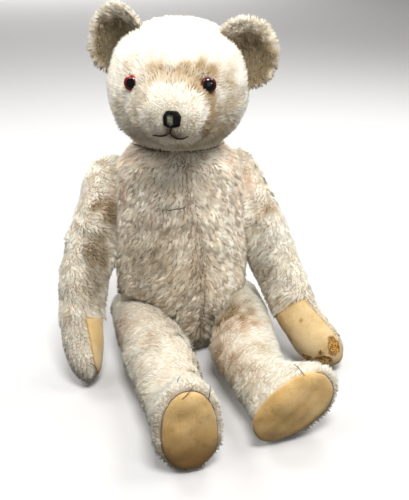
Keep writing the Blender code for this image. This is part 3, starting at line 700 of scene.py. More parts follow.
def cut_palm(side):
    """Part an arm's skin in two: the arm with its edge turned in, and the felt pad."""
    arm = skins[f"arm_{side}"]
    point, facing, wrist, up = (Vector(row) for row in PALMS[side])
    bm = bmesh.new()
    bm.from_mesh(arm.data)
    for spot, way in ((point, facing), (wrist, up)):
        everything = bm.verts[:] + bm.edges[:] + bm.faces[:]
        bmesh.ops.bisect_plane(bm, geom=everything, plane_co=spot * MM, plane_no=way, dist=0.0002)
    felt = bm.copy()
    bmesh.ops.delete(felt, geom=palm_faces(felt, side, False), context="FACES")
    bmesh.ops.delete(bm, geom=palm_faces(bm, side, True), context="FACES")
    turned = bmesh.ops.extrude_edge_only(bm, edges=[e for e in bm.edges if e.is_boundary])
    bm.normal_update()
    for vert in [v for v in turned["geom"] if isinstance(v, bmesh.types.BMVert)]:
        vert.co -= vert.normal * 1.6 * MM
    write_in_order(bm, arm.data)
    pad = new_object(f"paw_{side}_felt", bpy.data.meshes.new(f"paw_{side}_felt"))
    write_in_order(felt, pad.data)
    finer = pad.modifiers.new("finer", "SUBSURF")
    finer.levels = finer.render_levels = 2 if side == "left" else 1
    apply_modifiers(pad)
    rows = coordinates(pad.data)
    lift = -0.6 + 1.1 * smooth(palm_part(side, rows), 0.0, 4.0) + 0.25 * wobble(rows, 12, 60)
    move_to(pad.data, rows + vertex_normals(pad.data) * lift[:, None] * MM)
    return pad


# The whole left arm, kept to lay the straw on later.
whole_left_arm = surface_of(skins["arm_left"].data)
pads = {side: cut_palm(side) for side in SIDES}
for side, pad in pads.items():
    print("palm pad", side, len(pad.data.polygons), "faces")

# %% [markdown]
# The left paw has worn through: a big hole at the tip, a torn slit under it, a hole at the
# lower edge and a small one beside them. A boolean cut would leave clean edges, and worn
# felt has none. So faces inside each ragged outline are deleted, the points left on the edge
# are drawn onto that outline, and the lip is lifted and frayed. The right pad is whole.

# %% Holes and rubbed places
# Each hole: its middle, the way out of the felt, its long way, half length and half width.
HOLES = [
    ((163.0, -128.5, 35.0), (0.0, -0.88, 0.47), (-0.15, 0.55, 0.82), 10.8, 7.2),
    ((152.5, -132.0, 20.5), (-0.4, -0.9, 0.1), (0.85, -0.45, -0.1), 9.4, 4.4),
    ((137.5, -117.0, 20.0), (-0.5, -0.8, -0.3), (0.6, -0.6, -0.4), 6.4, 4.4),
    ((149.0, -129.0, 31.0), (-0.5, -0.86, 0.0), (0.3, 0.0, 1.0), 2.2, 1.6),
]
# Rubbed places on the pads, not worn through: middle, reach and strength.
RUBS = {
    "left": [
        ((129, -104, 61), 3.2, 0.6),
        ((118, -99, 35), 8, 0.4),
        ((104, -88, 58), 9, 0.35),
        ((149, -129, 27), 7, 0.4),
    ],
    "right": [((-131, -106, 17), 7, 0.6)],
}


def hole_frame(hole):
    """A hole's middle, its three ways at right angles, and its half length and width."""
    middle, out, long_way, half_long, half_wide = hole
    out = unit(np.array(out, float))
    long_way = unit(np.array(long_way) - out * (np.array(long_way) @ out))
    return np.array(middle), out, long_way, np.cross(out, long_way), half_long, half_wide


HOLE_DEPTH = 9  # what lies deeper or higher than this is no part of a hole
FAR_AWAY = 9.0
FRAYED, LIFTED = 1.35, 1.4  # how far round a hole its edge frays and lifts


def hole_part(hole, places):
    """How far out from a hole's middle: 1 on its ragged edge. Also the turn about it."""
    middle, out, long_way, wide_way, half_long, half_wide = hole_frame(hole)
    apart = places / MM - middle
    u, v = (apart @ long_way) / half_long, (apart @ wide_way) / half_wide
    turn = np.arctan2(v, u)
    edge = 1 + 0.1 * np.sin(3 * turn + half_wide) + 0.06 * np.sin(7 * turn + half_long)
    edge += 0.04 * np.sin(13 * turn)
    near = np.abs(apart @ out) < HOLE_DEPTH
    return np.where(near, np.hypot(u, v) / edge, FAR_AWAY)


# %% Wear the holes through the left pad
def wear_through(pad):
    bm = bmesh.new()
    bm.from_mesh(pad.data)
    for number, hole in enumerate(HOLES):
        middles = np.array([face.calc_center_median() for face in bm.faces])
        inside = hole_part(hole, middles) < 1
        doomed = [face for face, gone in zip(bm.faces[:], inside) if gone]
        bmesh.ops.delete(bm, geom=doomed, context="FACES")
        bm.normal_update()
        middle = Vector(hole[0]) * MM
        for vert in bm.verts:
            part = hole_part(hole, np.array([vert.co]))[0]
            if vert.is_boundary and part < FRAYED:
                vert.co = middle.lerp(vert.co, 1 / part)
        fray = np.random.default_rng(30 + number)
        for vert in bm.verts:
            part = hole_part(hole, np.array([vert.co]))[0]
            if part < LIFTED:
                lip = (LIFTED - part) / (LIFTED - 1)
                vert.co += vert.normal * lip * fray.uniform(-0.1, 1.1) * MM
    bm.to_mesh(pad.data)
    bm.free()


def thicken(obj, amount):
    """A wall of so many millimetres, grown inwards from an open sheet."""
    thick = obj.modifiers.new("thick", "SOLIDIFY")
    thick.thickness = amount * MM
    thick.offset = -1
    apply_modifiers(obj)


wear_through(pads["left"])
for side, pad in pads.items():
    rows = coordinates(pad.data)
    worn = np.exp(-((palm_part(side, rows) / 3.5) ** 2)) * 0.6
    for place, reach, strength in RUBS[side]:
        nearest = rows[np.argmin(np.linalg.norm(rows / MM - place, axis=1))]
        apart = np.linalg.norm(rows - nearest, axis=1) / MM / reach
        worn = np.maximum(worn, strength * np.exp(-(apart**2)))
    if side == "left":
        for hole in HOLES:
            worn = np.maximum(worn, 0.8 - 0.8 * smooth(hole_part(hole, rows), 1.0, FRAYED))
    give_points(pad.data, "worn", worn)
    thicken(pad, 1.1)
print("left pad worn through in", len(HOLES), "places")

# %% [markdown]
# A sole could be cut out of the foot as a palm is, but its felt lies flatter than the end of
# the stuffed foot. So it starts as a flat disc: a circle filled with a fan, whose edge is
# extruded and widened ring by ring. Each point of the disc is drawn out to the sole's
# rounded egg and cast onto the foot by a ray, and the felt is crowned in the middle, as the
# wood wool behind it pushes it out.

# %% Lay the soles on the feet
RINGS, STEPS = 14, 64
DEEPEST = 5.0  # how far into the foot the felt may follow it, in millimetres


def flat_disc(name):
    """A disc of radius 1: a fan of triangles and rings of squares round it."""
    bpy.ops.object.select_all(action="DESELECT")
    bpy.ops.mesh.primitive_circle_add(vertices=STEPS, radius=1 / RINGS, fill_type="TRIFAN")
    bpy.ops.object.mode_set(mode="EDIT")
    bpy.ops.mesh.select_mode(type="EDGE")
    bpy.ops.mesh.select_all(action="DESELECT")
    bpy.ops.mesh.select_non_manifold()
    for ring in range(2, RINGS + 1):
        wider = ring / (ring - 1)
        bpy.ops.mesh.extrude_edges_move()
        bpy.ops.transform.resize(value=(wider, wider, 1))
    bpy.ops.mesh.select_mode(type="VERT")
    bpy.ops.mesh.select_all(action="SELECT")
    bpy.ops.mesh.normals_make_consistent(inside=False)
    bpy.ops.object.mode_set(mode="OBJECT")
    bpy.context.object.name = name
    return bpy.context.object


def egg_spot(side, x, y):
    """Where a spot of the round disc lies on the sole's plane, in millimetres."""
    point, across, heel, _ = (Vector(row) for row in SOLES[side])
    corner = (abs(x) ** SQUARE + abs(y) ** SQUARE) ** (1 / SQUARE)
    fuller = math.hypot(x, y) / max(corner, 1e-9)
    x, y = x * fuller * SOLE_HALF[side][0], y * fuller
    return point + across * (x * (1 + EGG[side] * y)) + heel * (y * SOLE_HALF[side][1])


def sole_felt(side):
    """A crowned oval of felt that follows the end of the foot."""
    point, into = Vector(SOLES[side][0]), Vector(SOLES[side][3])
    foot = surface_of(skins[f"leg_{side}"].data)
    obj = flat_disc(f"foot_{side}_felt")
    made = obj.data
    rows = coordinates(made)
    for number, (x, y, _) in enumerate(rows.tolist()):
        flat = egg_spot(side, x, y)
        hit = foot.ray_cast((flat - into * 40) * MM, into)[0] or foot.find_nearest(flat * MM)[0]
        deep = (hit / MM - point).dot(into)
        rows[number] = (flat + into * min(deep, DEEPEST)) * MM
    move_to(made, rows)
    obj.modifiers.new("soften", "SMOOTH").iterations = 6
    apply_modifiers(obj)
    rows = coordinates(made)
    out, _ = sole_part(side, rows)
    crown = 1.2 + 3.6 * (1 - out**3) - 2.4 * smooth(out, 0.9, 1.02) + 0.4 * wobble(rows, 14, 21)
    move_to(made, rows - np.array(into) * crown[:, None] * MM)
    # Painted shade: each sole is darker towards its heel, its lower end, the right one more. The
    # 0.14 all over is rubbing.
    low = (rows / MM - np.array(point)) @ np.array(SOLES[side][2]) / SOLE_HALF[side][1]
    low = low + 0.15 * wobble(rows, 16, 33)
    worn = 0.14 + (0.32 if side == "right" else 0.12) * smooth(low, -0.7, 0.9)
    give_points(made, "worn", worn)
    if vertex_normals(made)[0] @ np.array(into) > 0:
        made.flip_normals()
    thicken(obj, 1.4)
    return obj


soles = {side: sole_felt(side) for side in SIDES}
print("soles laid:", {side: len(sole.data.polygons) for side, sole in soles.items()})

# %% [markdown]
# Felt has no threads: it is wool matted in all directions. So its bump is noise at two sizes
# and not a weave, and its colour is cloudy straw with soot in it. It is browner and rubbed
# wherever the meshes' own mask says that it is worn: at the edges and round the holes. On
# the soles the same mask adds a little rubbing all over and painted shade that darkens
# towards the heel, their lower end.


# %% The felt
HOLE_BROWN = (0.12, 0.045, 0.015)


def make_felt(name, pale, deep, dirt, rubbed):
    """Wool felt the colour of straw: cloudy, matted, faintly pilled, brown where worn and where
    the mask paints shade.
    """
    made, tree, shader, where = new_finish(name)
    worn = attribute(tree, "worn").outputs["Fac"]
    cloud = ramp_of(tree, noise_of(tree, where, 38.0, 4.0), 0.3, 0.72)
    colour = blend_of(tree, cloud, deep, pale)
    soot = ramp_of(tree, noise_of(tree, where, 90.0, 5.0, 0.7), 0.5, 0.76)
    colour = blend_of(tree, sums(tree, "MULTIPLY", soot, 0.2), colour, dirt)
    fluff = noise_of(tree, where, 900.0, 4.0, 0.7)
    shorn = sums(tree, "MULTIPLY_ADD", sums(tree, "SUBTRACT", fluff, 0.5), 0.9)
    colour = blend_of(tree, 0.5, colour, shorn, "OVERLAY")
    # The worn mask with soot: wear, and on the soles painted shade.
    wear_dirt_and_shade = sums(tree, "ADD", worn, sums(tree, "MULTIPLY", soot, 0.1))
    colour = blend_of(tree, ramp_of(tree, wear_dirt_and_shade, 0.12, 0.5), colour, rubbed)
    colour = blend_of(tree, ramp_of(tree, wear_dirt_and_shade, 0.6, 1.1), colour, HOLE_BROWN)
    mat = node(tree, "TexVoronoi", {"Vector": where, "Scale": 1100.0})
    height = sums(tree, "ADD", fluff, sums(tree, "MULTIPLY", mat.outputs["Distance"], 0.5))
    dress(tree, shader, colour, 0.92, 0.15)
    emboss(tree, shader, height, 0.55, 0.0006)
    shader.inputs["Sheen Weight"].default_value = 0.2
    shader.inputs["Sheen Roughness"].default_value = 0.5
    return made


# Pale, deep, dirty and rubbed felt. The soles have kept more of their gold.
palm_tones = ((0.76, 0.57, 0.31), (0.62, 0.43, 0.19), (0.42, 0.25, 0.09), (0.46, 0.27, 0.1))
sole_tones = ((0.82, 0.56, 0.25), (0.62, 0.39, 0.14), (0.36, 0.2, 0.07), (0.32, 0.17, 0.045))
palm_finish = make_felt("felt_palm", *palm_tones)
sole_finish = make_felt("felt_sole", *sole_tones)
for side in SIDES:
    for piece, body, old, finish in (
        (pads[side], f"arm_{side}", f"paw_{side}_pad", palm_finish),
        (soles[side], f"leg_{side}", f"foot_{side}_pad", sole_finish),
    ):
        piece.data.materials.append(finish)
        shade_smooth(piece)
        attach(piece, body)
        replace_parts(piece, old)
        print(piece.name, "stands for", old)

# %% [markdown]
# ## The ears
#
# Each ear is two pieces of mohair sewn round the edge and cupped. It could be a bent disc,
# but the CAD ear has the cupped shape already, so its copy is remeshed and softened like the
# other skins. Inside the cup the pile is stained brown and darkened further with painted
# shade. The rim and the back keep the head's cream with a touch of tan.

# %% Ear skins
# Each ear: its middle and the way its cup faces.
EARS = {
    "right": (np.array([-73.34, 23.44, 398.0]), np.array([-0.6531, -0.7571, -0.0184])),
    "left": (np.array([67.42, -22.3, 384.0]), np.array([-0.0975, -0.9952, 0.0])),
}


def ear_skin(side):
    obj = merged_copy(f"ear_{side}", f"ear_{side}_skin")
    soften(obj, 2.5, 0.5, 6)
    swell(obj, 0.3)
    return obj


for side in SIDES:
    skins[f"ear_{side}"] = ear_skin(side)
    print("ear", side, len(skins[f"ear_{side}"].data.polygons), "faces")

# %% [markdown]
# ## Stains, grime and painted shade
#
# A mark is a soft spot: a place, a reach and a strength. There are three kinds. Tan is an
# old liquid stain, rust is the orange scorch at neck and shoulders, and grime is the grey
# that hands leave. Grime's colour also stands for painted shade: in the ear cups, where
# the pile parts over the belly's seam, under the jaw and round the neck. Round the muzzle
# and on the chest under the chin the tan is partly painted shade too. They could be painted
# on a map, but the pile has no map to paint on. So skin and pile both work them out from
# where a point is, in the same way, and always agree.

# %% Where the marks are
# For each body, rows of kind (0 tan, 1 rust, 2 grime, in places painted shade), place, reach and
# strength.
MARKS = {
    "head": [
        (0, (-44, -73, 377), (28, 16, 12), 0.95),
        (0, (-12, -80, 378), (28, 14, 10), 0.95),
        (0, (2, -92, 367), (17, 12, 11), 1.1),
        (0, (14, -80, 376), (21, 15, 12), 1.2),
        (2, (12, -84, 374), (16, 14, 9), 0.4),
        (0, (36, -72, 362), (12, 14, 15), 0.8),
        (0, (-72, -50, 372), (14, 16, 14), 0.45),
        (0, (42, -66, 334), (20, 24, 20), 0.7),
        (2, (28, -80, 334), (18, 18, 26), 0.3),
        (0, (26, -72, 308), (34, 30, 22), 0.8),
        # The grime rows 288 to 294 mm high here are painted shade under the jaw and chin.
        (2, (10, -66, 288), (50, 40, 12), 0.35),
        (0, (-80, -40, 330), (12, 24, 22), 0.4),
        (0, (-68, -48, 306), (20, 26, 20), 0.5),
        (2, (-66, -40, 294), (30, 30, 12), 0.3),
        (2, (-32, -80, 290), (30, 26, 10), 0.35),
        (0, (-52, -92, 330), (8, 8, 8), 0.4),
        (0, (-16, -104, 326), (8, 8, 10), 0.5),
        # These two rows under the nose are partly dirt and partly painted shade.
        (0, (-34, -106, 312), (12, 8, 6), 0.7),
        (2, (-34, -108, 316), (10, 7, 7), 0.6),
        # Painted shade: a dark band at the bottom of the head, where it meets the body.
        (2, (-12, -20, 278), (80, 80, 6), 0.5),
    ],
    "torso": [
        (1, (-70, -16, 264), (16, 26, 12), 0.3),
        (1, (52, -26, 260), (16, 26, 16), 0.35),
        (1, (-82, -18, 226), (8, 26, 34), 0.25),
        (1, (60, -28, 222), (8, 24, 34), 0.3),
        # The tan rows under the chin, down to 196 mm high, are partly painted shadow of the head.
        (0, (-22, -56, 250), (28, 30, 12), 0.12),
        (0, (-28, -60, 226), (18, 30, 20), 0.12),
        (0, (8, -58, 232), (9, 30, 22), 0.3),
        (0, (-24, -66, 196), (26, 26, 12), 0.16),
        (0, (-50, -58, 146), (40, 34, 40), 0.5),
        (2, (-52, -58, 132), (36, 34, 42), 0.42),
        (2, (-12, -67, 176), (12, 26, 22), 0.3),
        (2, (4, -70, 128), (8, 26, 44), 0.5),
        (0, (-14, -71, 124), (28, 26, 28), 0.5),
        (2, (-26, -70, 98), (30, 26, 12), 0.35),
        (0, (-46, -64, 76), (26, 30, 20), 0.5),
        (2, (-44, -64, 70), (34, 30, 24), 0.5),
        (2, (-8, -66, 48), (34, 30, 18), 0.4),
        (0, (-8, -66, 40), (40, 34, 22), 0.4),
        # Painted shade: a dark band at the top of the body, round the neck.
        (2, (-8, -20, 274), (90, 90, 4), 0.45),
        # Darker where the body rests on the floor.
        (2, (-10, -60, 14), (80, 50, 16), 0.6),
        (0, (0, 60, 60), (60, 40, 40), 0.4),
    ],
    "arm_right": [
        (0, (-102, -8, 190), (16, 26, 18), 1.1),
        (2, (-98, -18, 182), (15, 26, 18), 0.95),
        (1, (-90, 2, 208), (8, 18, 18), 0.35),
        (0, (-118, -26, 168), (18, 20, 9), 0.5),
        (0, (-118, -38, 152), (16, 26, 30), 0.8),
        (2, (-118, -38, 150), (15, 24, 28), 0.8),
        (2, (-124, -56, 118), (16, 26, 30), 0.85),
        (0, (-134, -60, 112), (30, 40, 32), 0.35),
        (2, (-136, -66, 96), (26, 34, 24), 0.4),
        (2, (-138, -88, 66), (30, 30, 26), 0.36),
        (2, (-128, -92, 16), (30, 40, 12), 0.45),
        (0, (-88, 30, 205), (12, 30, 30), 0.5),
    ],
    "arm_left": [
        (1, (82, 6, 208), (11, 18, 26), 0.75),
        (0, (106, -20, 182), (14, 14, 11), 0.75),
        (0, (90, -22, 172), (9, 20, 14), 0.6),
        (2, (90, -34, 166), (8, 20, 10), 0.5),
        (2, (94, -56, 124), (16, 26, 36), 0.7),
        (2, (106, -68, 102), (16, 22, 14), 0.45),
        (0, (120, -80, 78), (24, 30, 12), 0.5),
        (2, (112, -72, 92), (20, 26, 16), 0.3),
        (0, (118, -44, 116), (18, 24, 12), 0.25),
    ],
    "leg_right": [
        (0, (-66, -138, 73), (14, 18, 10), 0.5),
        (0, (-60, -90, 74), (40, 30, 16), 0.12),
        (1, (-88, -78, 62), (16, 26, 20), 0.32),
        (2, (-34, -70, 70), (22, 40, 22), 0.4),
        (0, (-86, -196, 50), (12, 18, 18), 0.45),
        (0, (-18, -60, 60), (12, 50, 30), 0.5),
        # Darker where the leg rests on the floor.
        (2, (-56, -150, 2), (60, 170, 8), 0.35),
        (0, (-58, -232, 64), (16, 12, 12), 0.24),
        (2, (-50, -262, 66), (40, 14, 14), 0.2),
        (2, (-92, -262, 40), (12, 16, 40), 0.4),
        (2, (-50, -284, 40), (60, 8, 60), 0.2),
    ],
    "leg_left": [
        (0, (38, -96, 76), (28, 30, 24), 1.1),
        (2, (36, -86, 74), (28, 26, 24), 0.8),
        (1, (52, -124, 78), (24, 16, 12), 0.35),
        (0, (24, -182, 58), (14, 20, 20), 0.7),
        (0, (22, -150, 40), (14, 34, 22), 0.6),
        (2, (20, -140, 30), (12, 50, 24), 0.3),
        (0, (36, -214, 62), (16, 12, 12), 0.5),
        (0, (58, -176, 74), (16, 18, 10), 0.5),
        # Darker where the leg rests on the floor.
        (2, (60, -150, 2), (60, 170, 8), 0.35),
        (1, (16, -140, 48), (10, 30, 24), 0.35),
    ],
    "ear_right": [],
    "ear_left": [],
}
print("marks:", {body: len(rows) for body, rows in MARKS.items()})

# %% Work the marks out
NOSE = np.array([-33.5, -112.0, 330.5])
# The belly's seam: how far to the left it is at each height.
SEAM = [(-10, 276), (-9.4, 243), (-8, 214), (4.5, 175), (10, 131), (8.7, 84), (7.5, 38), (0, 0)]


def seam_side(places):
    """How far each place is to the left of the belly's seam, in millimetres."""
    heights = [z for _, z in SEAM][::-1]
    middles = [x for x, _ in SEAM][::-1]
    wavy = wobble(places, 16, 77) * 1.6
    return places[:, 0] / MM - np.interp(places[:, 2] / MM, heights, middles) - wavy


def ear_inside(side, places, ways):
    """1 deep inside the cup of an ear, 0 on its rim and back. The deep is low and outward."""
    centre, facing = EARS[side]
    apart = places / MM - centre + (-5 * SIDES[side], 0, 7)
    flat = apart - (apart @ facing)[:, None] * facing
    deep = 1 - smooth(np.linalg.norm(flat, axis=1) + wobble(places, 9, 5) * 2.5, 22, 35)
    return deep * smooth(ways @ facing, -0.5, 0.15)


def marks_at(body, places, ways):
    """The three masks, tan, rust and grime, at each place on a body. Tan and grime also paint
    shade in places.
    """
    found = np.zeros((len(places), 3))
    ragged = wobble_ways(places, 10, 40) * 0.28
    for kind, centre, reach, strength in MARKS[body]:
        apart = (places / MM - centre) / np.array(reach, float) + ragged
        spot = strength * np.exp(-np.einsum("ij,ij->i", apart, apart) * 0.9)
        found[:, kind] = np.maximum(found[:, kind], spot)
    if body == "head":  # a tan ring round the muzzle, stronger to the bear's left
        # The ring is partly stain and partly painted shade in the hollow round the muzzle; its
        # grime part is painted shade.
        apart = np.linalg.norm(places / MM - NOSE, axis=1) + 3 * wobble(places, 9, 61)
        ring = smooth(apart, 37, 45) * (1 - smooth(apart, 50, 76)) * (ways[:, 1] < 0.2)
        ring *= 0.5 + 0.45 * smooth(places[:, 0] / MM, -60, 5)
        found[:, 0] = np.maximum(found[:, 0], ring)
        found[:, 2] = np.maximum(found[:, 2], ring * 0.25)
    if body == "torso":  # the dark line where the pile parts over the belly's seam
        # Painted shade: a dark line where the pile parts over the belly's seam.
        parting_shade = 0.4 * np.exp(-((seam_side(places) / 3.4) ** 2)) * (ways[:, 1] < 0)
        parting_shade *= 1 - 0.7 * smooth(places[:, 2] / MM, 110, 170)
        found[:, 2] = np.maximum(found[:, 2], parting_shade)
    if body.startswith("ear"):
        # The cup is stained tan, and its grime is painted shade in the hollow.
        inside = ear_inside(body.split("_")[1], places, ways)
        found[:, 0] = 0.35 + inside * 0.65
        found[:, 2] = 0.06 + inside * (0.84 if body.endswith("left") else 1.0)
    return found


# %% Dress the skins
KIND = {body: body.split("_")[0].replace("ear", "head") for body in skins}
for body, skin in skins.items():
    rows, ways = coordinates(skin.data), vertex_normals(skin.data)
    give_points(skin.data, "marks", marks_at(body, rows, ways), "FLOAT_VECTOR", "vector")
    skin.data.materials.append(CLOTH[KIND[body]])
    shade_smooth(skin)
    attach(skin, "head" if body.startswith("ear") else body)
    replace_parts(skin, body if body.startswith("ear") else f"{body}_cover")
print("skins:", sorted(skins))

# %% [markdown]
# ## The pile
#
# Mohair stands in locks: a few dozen fine hairs that cling together and taper to a point.
# At arm's length a lock is what the eye sees, so one lock is one small closed spike with
# three sides, sunk in the cloth at its root. Particle hair would be lost in an export, and
# a texture would leave the outline smooth, so the locks are real meshes, planted by numpy
# all at once. Neighbours lean together in tufts, and a tuft shares a shade, because that is
# what makes pile look like pile from further off. A lock is far wider than a hair and would
# throw a hard shadow, so the piles cast none: the skins under them do. The shade deep in the
# pile is painted instead: each lock is darker towards its root.


# %% Spots for the roots
def spots_on(mesh, count, weight, dice):
    """Random places on a mesh, evenly by area times weight, with their normals."""
    mesh.calc_loop_triangles()
    corners = np.empty(len(mesh.loop_triangles) * 3, np.int32)
    mesh.loop_triangles.foreach_get("vertices", corners)
    corners = corners.reshape(-1, 3)
    rows, ways = coordinates(mesh), vertex_normals(mesh)
    a, b, c = rows[corners[:, 0]], rows[corners[:, 1]], rows[corners[:, 2]]
    area = np.linalg.norm(np.cross(b - a, c - a), axis=1)
    share = np.cumsum(area * weight((a + b + c) / 3, unit(ways[corners].sum(1))))
    draw = (np.arange(count) + dice.random(count)) / count * share[-1]
    face = np.minimum(np.searchsorted(share, draw), len(corners) - 1)
    u, v = dice.random(count), dice.random(count)
    over = u + v > 1
    u, v = np.where(over, 1 - u, u), np.where(over, 1 - v, v)
    parts = np.stack([1 - u - v, u, v], 1)[:, :, None]
    picked = corners[face]
    return (rows[picked] * parts).sum(1), unit((ways[picked] * parts).sum(1))


# %% Tufts
def gather(roots, reach, spacing, pull):
    """Draw the tips together into tufts, and give each lock its tuft's number.

    reach is each lock as a vector. A tuft's middle is one of the locks. The locks round it
    end partly at its tip, the nearer the more.
    """
    grid = np.floor((roots - roots.min(0)) / (spacing * MM)).astype(int)
    key = (grid[:, 0] * 4096 + grid[:, 1]) * 4096 + grid[:, 2]  # one number for each cell
    first = np.unique(key, return_index=True)[1]
    heads = KDTree(len(first))
    for number, lock in enumerate(first):
        heads.insert(roots[lock], number)
    heads.balance()
    found = np.array([heads.find(root)[1:] for root in roots])
    tuft = first[found[:, 0].astype(int)]
    near = 1 - smooth(found[:, 1] / MM, 0.3 * spacing, 1.1 * spacing)
    goal = roots[tuft] + reach[tuft] * 1.08
    bent = reach + (goal - roots - reach) * (pull * (0.45 + 0.55 * near))[:, None]
    kept = np.linalg.norm(reach, axis=1) / np.maximum(np.linalg.norm(bent, axis=1), 1e-9)
    return bent * np.clip(kept, 0.6, 1.15)[:, None], tuft


# %% A mesh of locks
SUNK = 0.7  # millimetres that each root is sunk in the cloth
LOWEST = 0.0004  # metres: no lock goes into the floor


def lock_mesh(name, roots, ways, reach, width, lean, shade, marks):
    """One mesh of closed three-sided spikes. lean tilts the shading of a whole tuft."""
    count = len(roots)
    along = unit(reach)
    across = unit(np.cross(ways, along))
    behind = unit(np.cross(across, ways))
    half = width[:, None] * MM / 2
    sunk = roots - ways * SUNK * MM
    corners = np.empty((count, 4, 3))
    corners[:, 0] = sunk + across * half
    corners[:, 1] = sunk - across * half
    corners[:, 2] = sunk - behind * half
    corners[:, 3] = roots + reach
    corners[:, :, 2] = np.maximum(corners[:, :, 2], LOWEST)
    faces = np.array([[0, 3, 1], [1, 3, 2], [2, 3, 0], [0, 1, 2]])
    faces = (faces[None] + np.arange(count)[:, None, None] * 4).reshape(-1)
    mesh = bpy.data.meshes.new(name)
    mesh.vertices.add(count * 4)
    mesh.vertices.foreach_set("co", corners.astype(np.float32).ravel())
    mesh.loops.add(len(faces))
    mesh.loops.foreach_set("vertex_index", faces.astype(np.int32))
    mesh.polygons.add(len(faces) // 3)
    mesh.polygons.foreach_set("loop_start", np.arange(0, len(faces), 3, dtype=np.int32))
    mesh.polygons.foreach_set("use_smooth", np.ones(len(faces) // 3, bool))
    mesh.update(calc_edges=True)
    fluffy = ways + lean + (0, 0, 0.18)  # shaded like the cloth below, and a little from above
    soft = np.empty((count, 4, 3))
    soft[:, 0] = fluffy + across * 0.7
    soft[:, 1] = fluffy - across * 0.7
    soft[:, 2] = fluffy
    soft[:, 3] = fluffy + along * 0.4
    mesh.normals_split_custom_set_from_vertices(unit(soft.reshape(-1, 3)))
    # tip runs from 0 at the root to 1 at the tip; the material paints shade by it, darker towards
    # the root.
    give_points(mesh, "tip", np.tile([0.0, 0.0, 0.12, 1.0], count))
    give_points(mesh, "lock", np.repeat(shade, 4))
    give_points(mesh, "marks", np.repeat(marks, 4, axis=0), "FLOAT_VECTOR", "vector")
    lay_out(mesh, count)
    return mesh


def lay_out(mesh, count):
    """A UV map that gives each lock its own small cell, in planting order."""
    side = math.ceil(math.sqrt(count))
    cell = np.stack([np.arange(count) % side, np.arange(count) // side], 1) / side
    shape = np.array([[0.1, 0.1], [0.9, 0.1], [0.5, 0.3], [0.5, 0.92]]) / side
    spots = (cell[:, None, :] + shape[None]).reshape(-1, 2)
    layer = mesh.uv_layers.new(name="OFBake")
    corner = np.empty(len(mesh.loops), np.int32)
    mesh.loops.foreach_get("vertex_index", corner)
    layer.uv.foreach_set("vector", spots[corner].astype(np.float32).ravel())


# %% Plant one pile
def plant(name, body, count, comb, size, seed, where, tuft_size, lively):
    """Plant a pile on a body's skin.

    comb gives each root's direction along the cloth, and size its lock's length, width
    and how steeply it stands. where thins the pile out, from 1 full to 0 bare. tuft_size
    is a tuft's width, and lively is how differently the tufts catch the light.
    """
    dice = np.random.default_rng(seed)
    roots, ways = spots_on(skins[body].data, count, where, dice)
    wish = unit(comb(roots, ways)) + wobble_ways(roots, 9, seed) * 0.3
    wish += dice.normal(size=roots.shape) * 0.12
    flat = unit(wish - np.einsum("ij,ij->i", wish, ways)[:, None] * ways)
    length, width, rise = size(roots, ways)
    rise = np.radians(rise * (1 + 0.3 * dice.normal(size=len(roots))).clip(0.2, 2.2))
    along = flat * np.cos(rise)[:, None] + ways * np.sin(rise)[:, None]
    reach = along * (length * dice.uniform(0.7, 1.2, len(roots)) * MM)[:, None]
    reach, tuft = gather(roots, reach, tuft_size, 0.62)
    width = width * dice.uniform(0.7, 1.3, len(roots))
    shade = 0.78 * dice.random(len(roots))[tuft] + 0.22 * dice.random(len(roots))
    lean = dice.normal(size=roots.shape)[tuft] * lively * (length / length.max())[:, None]
    marks = marks_at(body, roots, ways)
    mesh = lock_mesh(name, roots, ways, reach, width, lean, shade, marks)
    mesh.materials.append(PILE[KIND[body]])
    obj = new_object(name, mesh)
    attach(obj, "head" if body.startswith("ear") else body)
    obj.visible_shadow = False
    print(name, len(roots), "locks,", len(mesh.polygons), "triangles")


# %% [markdown]
# ## Combs
#
# Real pile is woven with a lie, and brushed on top of that. One direction for the whole bear
# would look like a plush carpet, so each body has its own comb: a rule that says which way
# its pile was brushed. The body's pile parts along the middle seam of the belly and runs
# down and outward from it, flatter over the lower belly. The face's lies away from the nose,
# and the back of the head is parted to both sides. The arms' runs in towards the body and
# down, the legs' outward and down, and neither points forward, where the tips would show
# their dark undersides. The ears' runs out over the rim, and round the soles the locks stand
# out like a brush.


# %% Combs of the body, face and ears
def ways_of(*columns):
    """Directions from their parts along X, Y and Z. The first has a number for each place."""
    return np.stack([np.broadcast_to(c, columns[0].shape) for c in columns], 1)


def torso_comb(places, ways):
    side = seam_side(places)
    height = places[:, 2] / MM
    low = 1 - smooth(height, 60, 170)
    out = np.where(side < 0, 0.55 + 0.8 * low, 0.5 + 0.25 * low) * np.tanh(side / 5)
    return ways_of(out, 0.0, -np.where(side < 0, 1.0 - 0.3 * low, 1.0))


def face_comb(places, ways):
    away = unit(places / MM - NOSE)
    back = smooth(places[:, 1] / MM, -20, 40)[:, None]
    parted = ways_of(0.8 * np.tanh(places[:, 0] / MM / 15), 0.0, -1.0)
    return away * (1 - back) + parted * back


def ear_comb(side):
    centre, facing = EARS[side]

    def comb(places, ways):
        away = unit(places / MM - centre)
        inside = ear_inside(side, places, ways)[:, None]
        return away * (1 - inside * 1.2) + np.array([0.25, 0, -0.9]) * inside

    return comb


# %% Combs of the arms and legs
def arm_comb(side):
    sign = SIDES[side]

    def comb(places, ways):
        low = 1 - smooth(places[:, 2] / MM, 70, 200)
        across = (0.75 - 0.4 * low) * -sign
        if side == "left":
            across = -0.55 + 0.25 * wobble(places, 22, 44)
        return ways_of(across, 0.05 + 0.05 * low, -0.6 - 0.45 * low)

    return comb


